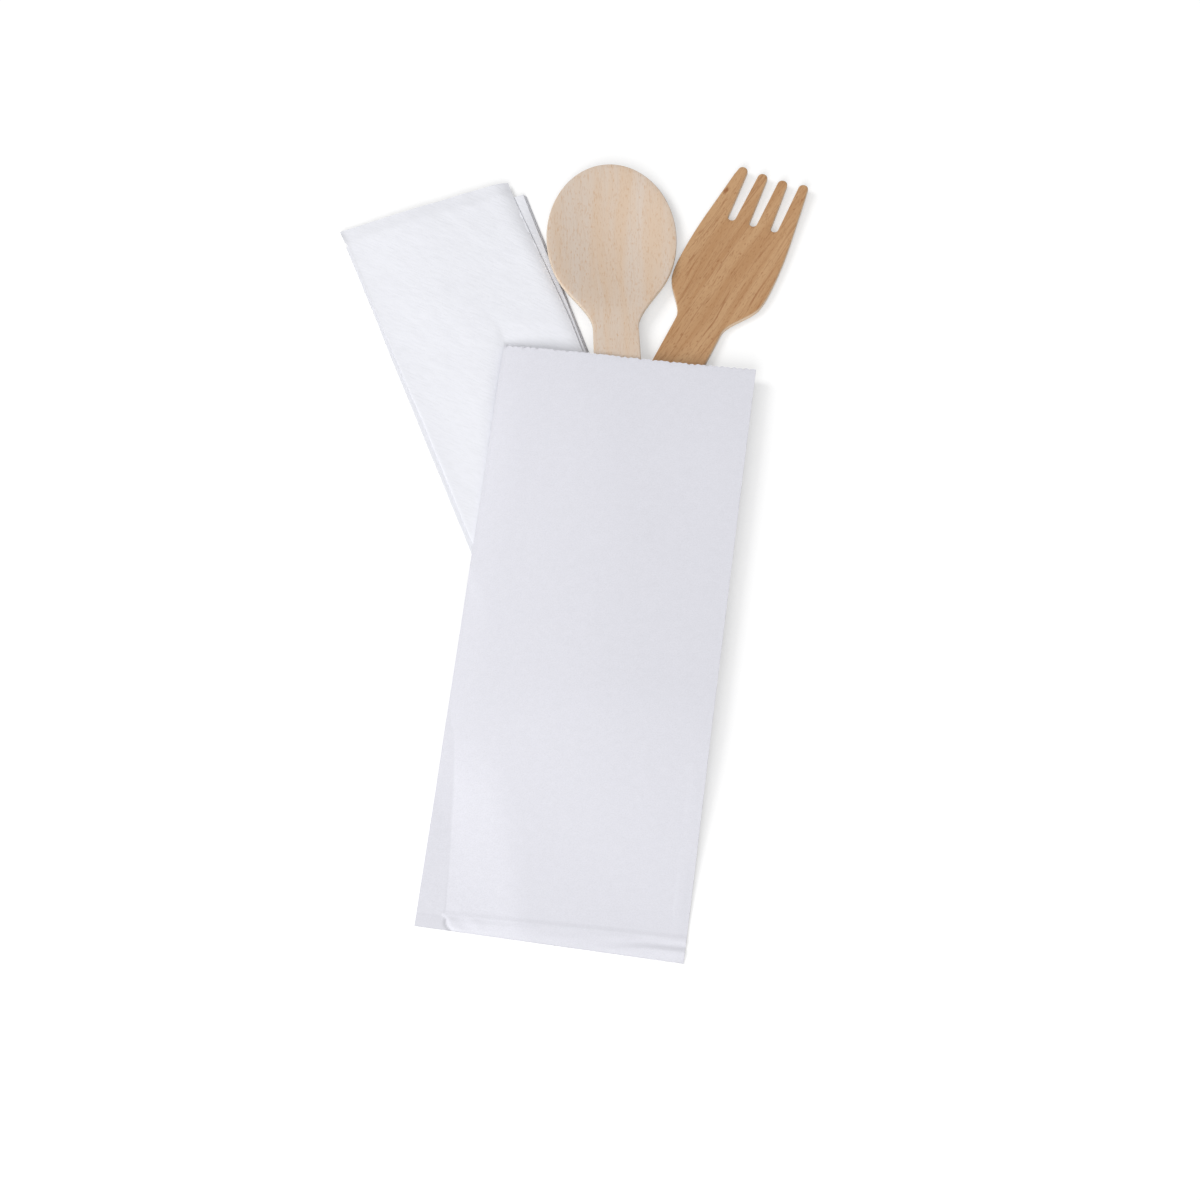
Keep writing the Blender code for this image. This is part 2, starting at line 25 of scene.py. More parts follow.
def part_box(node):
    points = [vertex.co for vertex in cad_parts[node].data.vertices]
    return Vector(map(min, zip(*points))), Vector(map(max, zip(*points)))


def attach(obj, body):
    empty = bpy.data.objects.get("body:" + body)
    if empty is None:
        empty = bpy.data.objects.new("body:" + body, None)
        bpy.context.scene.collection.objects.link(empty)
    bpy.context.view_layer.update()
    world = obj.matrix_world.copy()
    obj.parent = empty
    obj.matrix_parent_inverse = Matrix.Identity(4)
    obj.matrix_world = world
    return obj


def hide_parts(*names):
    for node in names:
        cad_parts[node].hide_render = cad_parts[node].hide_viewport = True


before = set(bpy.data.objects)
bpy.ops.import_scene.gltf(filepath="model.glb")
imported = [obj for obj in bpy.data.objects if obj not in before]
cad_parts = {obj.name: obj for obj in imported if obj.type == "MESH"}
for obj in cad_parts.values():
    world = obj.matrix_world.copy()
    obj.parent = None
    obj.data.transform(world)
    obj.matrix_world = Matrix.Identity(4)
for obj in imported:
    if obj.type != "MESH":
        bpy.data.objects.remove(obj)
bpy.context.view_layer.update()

log = logging.getLogger("cutlery_set")

MM = 0.001
PICTURE = 1200  # pixels along each side of the photograph

# Where the pieces lie from the middle of the pouch's mouth: across, away from the viewer, and turned
POUCH_TURN = math.radians(-6.76)
SPOON_TIP = (-5.657 * MM, 62.355 * MM, math.radians(2.2))
FORK_TIP = (38.344 * MM, 58.450 * MM, math.radians(-23.5))
NAPKIN_CORNER = (-74.6 * MM, 37.5 * MM, math.radians(19.54))
PICTURE_MIDDLE = (-7.78 * MM, -71.9 * MM)

# How the pieces lie on each other
REST_GAP = 0.3 * MM
TABLE_GAP = 0.1 * MM
PANELS = 6
PLY = 0.1 * MM
PLY_GAP = 0.05 * MM
PAIR = 2 * PLY + PLY_GAP
STACK = PANELS * PAIR + (PANELS - 1) * PLY_GAP
CAD_PAPER = 0.2 * MM
BACK_REST = STACK + REST_GAP
WOOD = 1.5 * MM
FORK_REST = BACK_REST + CAD_PAPER + REST_GAP
SPOON_REST = FORK_REST + WOOD + REST_GAP

# What several pieces and finishes share
WHITE = (1.0, 1.0, 1.0, 1.0)
UNSCALED = (1.0, 1.0, 1.0)
DULL_SPECULAR = 0.3
LAYER_STEP = 2.1  # between the seeds of one pattern's layers


def clamp(value: float) -> float:
    """Returns the value, kept between 0 and 1."""
    return min(max(value, 0.0), 1.0)


def ease(value: float) -> float:
    """Returns 0 to 1 with level ends."""
    value = clamp(value)
    return value * value * (3 - 2 * value)


def mix(a: float, b: float, share: float) -> float:
    """Returns a at share 0 and b at share 1."""
    return a + (b - a) * share


def hermite(
    share: float, start: float, start_slope: float, end: float, end_slope: float, span: float
) -> float:
    """Returns the height of a curve between two points with given slopes.

    Args:
        share: how far along the span, 0 to 1.
        start: height at the start.
        start_slope: slope at the start.
        end: height at the end.
        end_slope: slope at the end.
        span: length of the span.

    Returns:
        The height at that share.
    """
    square, cube = share**2, share**3
    return (
        (2 * cube - 3 * square + 1) * start
        + (cube - 2 * square + share) * span * start_slope
        + (3 * square - 2 * cube) * end
        + (cube - square) * span * end_slope
    )


@dataclass(frozen=True)
class Pattern:
    """Smooth unevenness from about -1 to 1: how wide its swells are, and which of many it is."""

    size: float
    seed: float

    def at(self, x: float, y: float, layer: float = 0.0) -> float:
        """Returns the unevenness at a place, a different one for each layer of a stack."""
        return noise.noise(Vector((x / self.size, y / self.size, self.seed + LAYER_STEP * layer)))


@dataclass(frozen=True)
class Place:
    """A plan frame on the table."""

    x: float
    y: float
    angle: float

    def on_table(self, across: float, up: float) -> tuple[float, float]:
        """Returns the table point of a point of this frame."""
        cos, sin = math.cos(self.angle), math.sin(self.angle)
        return (self.x + across * cos - up * sin, self.y + across * sin + up * cos)

    def own(self, x: float, y: float) -> tuple[float, float]:
        """Finds a table point in this frame.

        Args:
            x: the table point's place across.
            y: its place away from the viewer.

        Returns:
            The point's place across and up in this frame.
        """
        cos, sin = math.cos(self.angle), math.sin(self.angle)
        x, y = x - self.x, y - self.y
        return (x * cos + y * sin, y * cos - x * sin)

    def beside(self, x: float, y: float, angle: float) -> Place:
        """Returns the frame that lies this far from this one on the table, with its own angle."""
        return Place(self.x + x, self.y + y, angle)

    def matrix(self) -> Matrix:
        """Returns the matrix that puts a mesh of this frame on the table."""
        return Matrix.Translation((self.x, self.y, 0.0)) @ Matrix.Rotation(self.angle, 4, "Z")


class Grain(Enum):
    """How strongly a wood's growth bands show."""

    FAINT = 0.3
    STRONG = 1.3


# Shader node groups


def new_group(name: str, inputs: dict[str, float], outputs: tuple[str, ...]) -> bpy.types.NodeTree:
    """Makes an empty shader node group, which takes a Vector and some numbers and gives values.

    Args:
        name: the group's name.
        inputs: names of the numbers that it takes, with their default values.
        outputs: names of the values that it gives.

    Returns:
        The group's tree, with its input and output nodes named Inputs and Outputs.
    """
    group = bpy.data.node_groups.new(name, "ShaderNodeTree")
    sockets = group.interface
    sockets.new_socket(name="Vector", in_out="INPUT", socket_type="NodeSocketVector")
    for label, value in inputs.items():
        made = sockets.new_socket(name=label, in_out="INPUT", socket_type="NodeSocketFloat")
        made.default_value = value
    for label in outputs:
        sockets.new_socket(name=label, in_out="OUTPUT", socket_type="NodeSocketFloat")
    group.nodes.new("NodeGroupInput").name = "Inputs"
    group.nodes.new("NodeGroupOutput").name = "Outputs"
    return group


class Tree:
    """A node tree with short ways to add and join nodes."""

    def __init__(self, tree: bpy.types.NodeTree) -> None:
        """Keeps the tree that nodes are added to."""
        self.tree = tree

    def node(self, kind: str, **settings: object) -> bpy.types.Node:
        """Adds a node.

        Args:
            kind: the node's type.
            settings: its properties, by name.

        Returns:
            The node.
        """
        made = self.tree.nodes.new(kind)
        for label, value in settings.items():
            setattr(made, label, value)
        return made

    def feed(self, socket: bpy.types.NodeSocket, value: object) -> None:
        """Joins something to an input.

        Args:
            socket: the input.
            value: an output to join to it, or a plain value to set it to.
        """
        if isinstance(value, bpy.types.NodeSocket):
            self.tree.links.new(value, socket)
        else:
            socket.default_value = value

    def math(self, operation: str, a: object, b: object = 0.0) -> bpy.types.NodeSocket:
        """Adds a Math node.

        Args:
            operation: the node's operation.
            a: first socket or number.
            b: second socket or number.

        Returns:
            The result's socket.
        """
        made = self.node("ShaderNodeMath", operation=operation)
        self.feed(made.inputs[0], a)
        self.feed(made.inputs[1], b)
        return made.outputs[0]

    def blend(self, share: object, a: object, b: object) -> bpy.types.NodeSocket:
        """Mixes two colours.

        Args:
            share: 0 for a, 1 for b.
            a: first colour.
            b: second colour.

        Returns:
            The colour between them.
        """
        made = self.node("ShaderNodeMix", data_type="RGBA", clamp_factor=True)
        self.feed(made.inputs["Factor"], share)
        self.feed(made.inputs["A"], a)
        self.feed(made.inputs["B"], b)
        return made.outputs["Result"]

    def band(self, value: object, low: float, high: float) -> bpy.types.NodeSocket:
        """Makes a mask of a value.

        Args:
            value: the value.
            low: where the mask is 0.
            high: where the mask is 1.

        Returns:
            The mask, smooth between low and high.
        """
        made = self.node("ShaderNodeMapRange", interpolation_type="SMOOTHSTEP")
        self.feed(made.inputs["Value"], value)
        made.inputs["From Min"].default_value = low
        made.inputs["From Max"].default_value = high
        return made.outputs["Result"]

    def turned(self, vector: object, place: tuple, angle: float, scale: tuple) -> bpy.types.NodeSocket:
        """Returns the vector as a Mapping node of Texture type gives it.

        Args:
            vector: the coordinates to map.
            place: where the pattern's origin lies.
            angle: how far the pattern is turned about Z.
            scale: size of the pattern along each of its axes.

        Returns:
            The mapped coordinates.
        """
        made = self.node("ShaderNodeMapping", vector_type="TEXTURE")
        self.feed(made.inputs["Vector"], vector)
        made.inputs["Location"].default_value = place
        made.inputs["Rotation"].default_value = (0.0, 0.0, angle)
        made.inputs["Scale"].default_value = scale
        return made.outputs["Vector"]

    def laid(self, coordinates: object, place: Place, turn: float = 0.0) -> bpy.types.NodeSocket:
        """Returns the object's coordinates in a plan frame, turned by a little more if asked."""
        return self.turned(coordinates, (place.x, place.y, 0.0), place.angle + turn, UNSCALED)

    def noise(
        self, vector: object, scale: float = 1.0, detail: float = 2.0, rough: float = 0.5
    ) -> bpy.types.NodeSocket:
        """Adds a noise texture.

        Args:
            vector: the coordinates.
            scale: how many swells there are in one unit of them.
            detail: how many finer layers it has.
            rough: how strong the finer layers are.

        Returns:
            The noise, 0 to 1.
        """
        made = self.node("ShaderNodeTexNoise")
        self.feed(made.inputs["Vector"], vector)
        made.inputs["Scale"].default_value = scale
        made.inputs["Detail"].default_value = detail
        made.inputs["Roughness"].default_value = rough
        return made.outputs["Fac"]

    def seen(self) -> bpy.types.NodeSocket:
        """Makes the mask for what the camera sees, directly or in gloss or glass.

        Returns:
            1 for such a ray, 0 for the light that falls on the object.
        """
        rays = self.node("ShaderNodeLightPath").outputs
        mask = self.math("MAXIMUM", rays["Is Camera Ray"], rays["Is Glossy Ray"])
        return self.math("MAXIMUM", mask, rays["Is Transmission Ray"])


def fibre_group() -> bpy.types.NodeTree:
    """Makes the group for pressed fibres: cloudy formation, fine felt and stray hairs.

    Returns:
        The group, with a Cloud mask, a Felt mask and a Height.
    """
    group = new_group(
        "pressed_fibres",
        {"Cloud Size": 4.0 * MM, "Felt Size": 0.6 * MM},
        ("Cloud", "Felt", "Height"),
    )
    tree = Tree(group)
    source = group.nodes["Inputs"].outputs
    cloud_in_height, felt_in_height = 0.4, 0.6

    def sized(size: bpy.types.NodeSocket) -> bpy.types.NodeSocket:
        """Divides the vector by a size.

        Args:
            size: the size.

        Returns:
            The coordinates in units of it.
        """
        made = tree.node("ShaderNodeVectorMath", operation="SCALE")
        tree.feed(made.inputs[0], source["Vector"])
        tree.feed(made.inputs["Scale"], tree.math("DIVIDE", 1.0, size))
        return made.outputs[0]

    cloud = tree.noise(sized(source["Cloud Size"]), detail=4.0, rough=0.6)
    felt = tree.noise(sized(source["Felt Size"]), detail=3.0, rough=0.7)
    clouds = tree.math("MULTIPLY", cloud, cloud_in_height)
    height = tree.math("ADD", clouds, tree.math("MULTIPLY", felt, felt_in_height))
    for label, value in (("Cloud", cloud), ("Felt", felt), ("Height", height)):
        tree.feed(group.nodes["Outputs"].inputs[label], value)
    return group


def grain_group() -> bpy.types.NodeTree:
    """Makes the group for wood grain along +Y: growth bands, ring lines, fine pores and short flecks.

    Returns:
        The group, with masks for Bands, Lines, Pores and Flecks and a Height.
    """
    group = new_group(
        "wood_grain",
        {"Band Width": 4.0 * MM, "Line Spacing": 2.0 * MM},
        ("Bands", "Lines", "Pores", "Flecks", "Height"),
    )
    warp_size = (12 * MM, 50 * MM, 12 * MM)
    warp_reach = 7.0 * MM
    pore_size = (0.24 * MM, 1.6 * MM, 0.6 * MM)
    fleck_size = (0.32 * MM, 1.4 * MM, 1.0 * MM)
    fleck_start = (0.3, 0.2, 0)
    break_width = 1.1 * MM
    ring_level, ring_width = 0.52, 0.035
    band_stretch, ring_stretch, break_stretch = 16.0, 26.0, 55.0

    tree = Tree(group)
    source = group.nodes["Inputs"].outputs
    vector = source["Vector"]
    warp = tree.noise(tree.turned(vector, (0, 0, 0), 0.0, warp_size))
    split = tree.node("ShaderNodeSeparateXYZ")
    tree.feed(split.inputs[0], vector)
    shifted = tree.math("ADD", split.outputs["X"], tree.math("MULTIPLY", warp, warp_reach))

    def along_grain(width: object, stretch: float, detail: float) -> bpy.types.NodeSocket:
        """Makes noise that is drawn out along the grain.

        Args:
            width: its width across the grain.
            stretch: how many swells there are along one metre.
            detail: how many finer layers it has.

        Returns:
            The noise, 0 to 1.
        """
        drawn = tree.node("ShaderNodeCombineXYZ")
        tree.feed(drawn.inputs["X"], tree.math("DIVIDE", shifted, width))
        tree.feed(drawn.inputs["Y"], tree.math("MULTIPLY", split.outputs["Y"], stretch))
        return tree.noise(drawn.outputs[0], detail=detail, rough=0.55)

    bands = along_grain(source["Band Width"], band_stretch, 2.0)
    rings = along_grain(source["Line Spacing"], ring_stretch, 1.0)
    off_ring = tree.math("ABSOLUTE", tree.math("SUBTRACT", rings, ring_level))
    broken = tree.band(along_grain(break_width, break_stretch, 1.0), 0.36, 0.6)
    lines = tree.math("MULTIPLY", tree.band(off_ring, ring_width, 0.0), broken)
    pits = tree.noise(tree.turned(vector, (0, 0, 0), 0.0, pore_size), detail=1.0)
    pores = tree.band(pits, 0.57, 0.72)
    dashes = tree.noise(tree.turned(vector, fleck_start, 0.0, fleck_size), detail=0.0)
    flecks = tree.band(dashes, 0.70, 0.78)
    height = tree.math("SUBTRACT", 1.0, tree.math("MAXIMUM", pores, lines))
    made = {"Bands": bands, "Lines": lines, "Pores": pores, "Flecks": flecks, "Height": height}
    for label, value in made.items():
        tree.feed(group.nodes["Outputs"].inputs[label], value)
    return group


# Finishes


@dataclass(frozen=True)
class Finish:
    """What every finish has: a base colour in linear light, and how rough it is."""

    name: str
    colour: tuple[float, float, float]
    roughness: float

    def begin(self) -> tuple[bpy.types.Material, Tree, bpy.types.Node]:
        """Makes the material with its shader.

        Returns:
            The material, its tree, and its Principled node.
        """
        material = bpy.data.materials.new(self.name)
        material.use_nodes = True
        shader = material.node_tree.nodes["Principled BSDF"]
        shader.inputs["Base Color"].default_value = (*self.colour, 1.0)
        shader.inputs["Roughness"].default_value = self.roughness
        shader.inputs["Specular IOR Level"].default_value = DULL_SPECULAR
        return material, Tree(material.node_tree), shader

    def shade(self, factor: float) -> tuple[float, float, float, float]:
        """Returns the base colour made darker or lighter by a factor."""
        return (*(channel * factor for channel in self.colour), 1.0)

    def complete(
        self, tree: Tree, shader: bpy.types.Node, colour: object, height: object, relief: float
    ) -> None:
        """Gives the shader its colour and its relief.

        Args:
            tree: the material's tree.
            shader: its Principled node.
            colour: the colour over the surface.
            height: the height over the surface, 0 to 1.
            relief: how far apart the lowest and the highest point are, in metres.
        """
        tree.feed(shader.inputs["Base Color"], colour)
        bump = tree.node("ShaderNodeBump")
        bump.inputs["Strength"].default_value = 1.0
        bump.inputs["Distance"].default_value = relief
        tree.feed(bump.inputs["Height"], height)
        tree.feed(shader.inputs["Normal"], bump.outputs["Normal"])


@dataclass(frozen=True)
class SheetFinish(Finish):
    """What paper and tissue share: pressed fibres, whose pattern lies in the sheet's own plan frame."""

    cloud_size: float = 1.8 * MM
    felt_size: float = 0.34 * MM

    def pressed(
        self, tree: Tree, place: Place, fibres: bpy.types.NodeTree
    ) -> tuple[bpy.types.NodeSocket, bpy.types.Node]:
        """Adds the fibres.

        Args:
            tree: the material's tree.
            place: the plan frame that the pattern follows.
            fibres: the group of pressed fibres.

        Returns:
            The coordinates in the plan frame, and the node of the fibres.
        """
        own = tree.laid(tree.node("ShaderNodeTexCoord").outputs["Object"], place)
        felt = tree.node("ShaderNodeGroup", node_tree=fibres)
        tree.feed(felt.inputs["Vector"], own)
        felt.inputs["Cloud Size"].default_value = self.cloud_size
        felt.inputs["Felt Size"].default_value = self.felt_size
        return own, felt


@dataclass(frozen=True)
class PaperFinish(SheetFinish):
    """Smooth machine-made paper, faintly cloudy, and darkened by painted shade where the pouch's attribute
    says so.
    """

    cloud_depth: float = 0.014
    cloud_range: tuple[float, float] = (0.3, 0.7)
    felt_depth: float = 0.16
    felt_range: tuple[float, float] = (0.35, 0.75)
    felt_share: float = 0.5
    shade_depth: float = 0.30
    relief: float = 0.025 * MM

    def build(self, place: Place, fibres: bpy.types.NodeTree) -> bpy.types.Material:
        """Makes the material.

        Args:
            place: the plan frame that the pattern follows.
            fibres: the group of pressed fibres.

        Returns:
            The material.
        """
        material, tree, shader = self.begin()
        _, felt = self.pressed(tree, place, fibres)
        darker, lighter = self.shade(1 - self.cloud_depth), self.shade(1 + self.cloud_depth)
        cloudy = tree.blend(tree.band(felt.outputs["Cloud"], *self.cloud_range), darker, lighter)
        felted = tree.band(felt.outputs["Felt"], *self.felt_range)
        fine = tree.blend(felted, cloudy, self.shade(1 - self.felt_depth))
        colour = tree.blend(self.felt_share, cloudy, fine)
        # Painted shade from the pouch's attribute, which spares the lower left corner as a painted
        # highlight
        painted_shade = tree.node("ShaderNodeAttribute", attribute_name="painted_shade")
        colour = tree.blend(painted_shade.outputs["Fac"], colour, self.shade(1 - self.shade_depth))
        self.complete(tree, shader, colour, felt.outputs["Height"], self.relief)
        return material


@dataclass(frozen=True)
class TissueFinish(SheetFinish):
    """Soft tissue with fine slanting crepe creases, painted shade in their hollows, at its folds and on
    its right edge, and a greyer top band.
    """

    cloud_size: float = 7.0 * MM
    felt_size: float = 0.4 * MM
    felt_in_height: float = 0.6
    crepe_angle: float = math.radians(-48)
    crepe_width: float = 0.6 * MM
    crepe_length: float = 2.8 * MM
    hollow_shade_depth: float = 0.035
    hollow_range: tuple[float, float] = (0.3, 0.6)
    shade_and_grey_depth: float = 0.13
    relief: float = 0.09 * MM
    sheen: float = 0.15
    sheen_roughness: float = 0.6

    def build(self, place: Place, fibres: bpy.types.NodeTree) -> bpy.types.Material:
        """Makes the material.

        Args:
            place: the plan frame that the creases follow.
            fibres: the group of pressed fibres.

        Returns:
            The material.
        """
        material, tree, shader = self.begin()
        shader.inputs["Sheen Weight"].default_value = self.sheen
        shader.inputs["Sheen Roughness"].default_value = self.sheen_roughness
        own, felt = self.pressed(tree, place, fibres)
        size = (self.crepe_length, self.crepe_width, self.crepe_width)
        slanting = tree.turned(own, (0, 0, 0), self.crepe_angle, size)
        creases = tree.noise(slanting, detail=3.0, rough=0.6)
        # Painted shade in the hollows of the crepe creases
        raised = tree.band(creases, *self.hollow_range)
        colour = tree.blend(raised, self.shade(1 - self.hollow_shade_depth), self.shade(1.0))
        # Painted shade at the folds and the right edge, and the greyer top band, from the napkin's
        # attribute
        worn = tree.node("ShaderNodeAttribute", attribute_name="worn")
        colour = tree.blend(worn.outputs["Fac"], colour, self.shade(1 - self.shade_and_grey_depth))
        fine = tree.math("MULTIPLY", felt.outputs["Height"], self.felt_in_height)
        self.complete(tree, shader, colour, tree.math("ADD", creases, fine), self.relief)
        return material


@dataclass(frozen=True)
class WoodFinish(Finish):
    """Bare pressed veneer: bands, ring lines, pores, flecks, perhaps a knot, and a paler cut edge, partly
    a painted highlight.
    """

    band_colour: tuple[float, float, float] = (0.5, 0.3, 0.2)
    pore_colour: tuple[float, float, float] = (0.4, 0.2, 0.1)
    cut_edge_and_highlight_colour: tuple[float, float, float] = (0.8, 0.6, 0.4)
    grain: Grain = Grain.FAINT
    grain_turn: float = 0.0
    band_width: float = 5.0 * MM
    band_range: tuple[float, float] = (0.35, 0.7)
    band_depth: float = 0.9
    line_spacing: float = 2.2 * MM
    line_depth: float = 0.5
    pore_depth: float = 0.4
    fleck_depth: float = 0.6
    relief: float = 0.02 * MM
    knot: tuple[float, float] | None = None
    knot_size: tuple[float, float] = (0.9 * MM, 1.7 * MM)
    knot_range: tuple[float, float] = (1.4, 0.8)

    def knot_mask(
        self, tree: Tree, place: Place, coordinates: bpy.types.NodeSocket
    ) -> bpy.types.NodeSocket:
        """Makes the mask of the small dark knot.

        Args:
            tree: the material's tree.
            place: the plan frame that the knot's place is given in.
            coordinates: the object's coordinates.

        Returns:
            1 in the knot, 0 away from it.
        """
        centre = (*place.on_table(*self.knot), 0.0)
        size = (*self.knot_size, 1.0)
        near = tree.turned(coordinates, centre, place.angle + self.grain_turn, size)
        length = tree.node("ShaderNodeVectorMath", operation="LENGTH")
        tree.feed(length.inputs[0], near)
        ragged = tree.math("ADD", length.outputs["Value"], tree.noise(near, scale=2.0))
        return tree.band(ragged, *self.knot_range)

    def build(self, place: Place, wood: bpy.types.NodeTree) -> bpy.types.Material:
        """Makes the material.

        Args:
            place: the plan frame that the grain follows.
            wood: the group of wood grain.

        Returns:
            The material.
        """
        material, tree, shader = self.begin()
        coordinates = tree.node("ShaderNodeTexCoord").outputs["Object"]
        grain = tree.node("ShaderNodeGroup", node_tree=wood)
        tree.feed(grain.inputs["Vector"], tree.laid(coordinates, place, self.grain_turn))
        grain.inputs["Band Width"].default_value = self.band_width
        grain.inputs["Line Spacing"].default_value = self.line_spacing
        banded = tree.band(grain.outputs["Bands"], *self.band_range)
        bands = tree.math("MULTIPLY", banded, self.band_depth)
        colour = tree.blend(bands, self.shade(1.0), (*self.band_colour, 1.0))
        pore_colour = (*self.pore_colour, 1.0)
        depths = {
            "Lines": self.line_depth * self.grain.value,
            "Pores": self.pore_depth,
            "Flecks": self.fleck_depth,
        }
        for mask, depth in depths.items():
            share = tree.math("MULTIPLY", grain.outputs[mask], depth)
            colour = tree.blend(share, colour, pore_colour)
        if self.knot:
            colour = tree.blend(self.knot_mask(tree, place, coordinates), colour, pore_colour)
        # The sawn side: paler wood, made lighter still as a painted highlight
        edge = tree.node("ShaderNodeAttribute", attribute_name="cut_edge")
        colour = tree.blend(edge.outputs["Fac"], colour, (*self.cut_edge_and_highlight_colour, 1.0))
        self.complete(tree, shader, colour, grain.outputs["Height"], self.relief)
        return material


# Mesh helpers


def alone(piece: bpy.types.Object) -> None:
    """Makes one piece the only selected and the active one.

    Args:
        piece: the piece.
    """
    bpy.ops.object.select_all(action="DESELECT")
    piece.select_set(True)
    bpy.context.view_layer.objects.active = piece


def placed(name: str, data: bpy.types.ID) -> bpy.types.Object:
    """Puts a new object into the scene.

    Args:
        name: its name.
        data: its mesh, lamp or camera.

    Returns:
        The object.
    """
    made = bpy.data.objects.new(name, data)
    bpy.context.scene.collection.objects.link(made)
    return made


def piece_of(name: str, mesh_source: bmesh.types.BMesh) -> bpy.types.Object:
    """Puts a finished mesh into the scene.

    Args:
        name: the piece's name.
        mesh_source: the mesh, which is freed.

    Returns:
        The piece.
    """
    mesh = bpy.data.meshes.new(name)
    mesh_source.to_mesh(mesh)
    mesh_source.free()
    return placed(name, mesh)


def lay_down(piece: bpy.types.Object, place: Place, angle: float) -> None:
    """Moves a piece from its own plan frame to its place on the table, in its mesh, and shades it.

    Args:
        piece: the piece.
        place: its plan frame.
        angle: faces that meet at less than this are shaded smooth.
    """
    alone(piece)
    piece.matrix_world = place.matrix()
    bpy.ops.object.transform_apply(location=True, rotation=True, scale=True)
    bpy.ops.object.shade_smooth_by_angle(angle=angle)


def arc(steps: int, start: float = 0.0, end: float = math.pi) -> list[float]:
    """Returns evenly spaced turns from start to end, both included."""
    return [mix(start, end, i / steps) for i in range(steps + 1)]


# The spoon and the fork


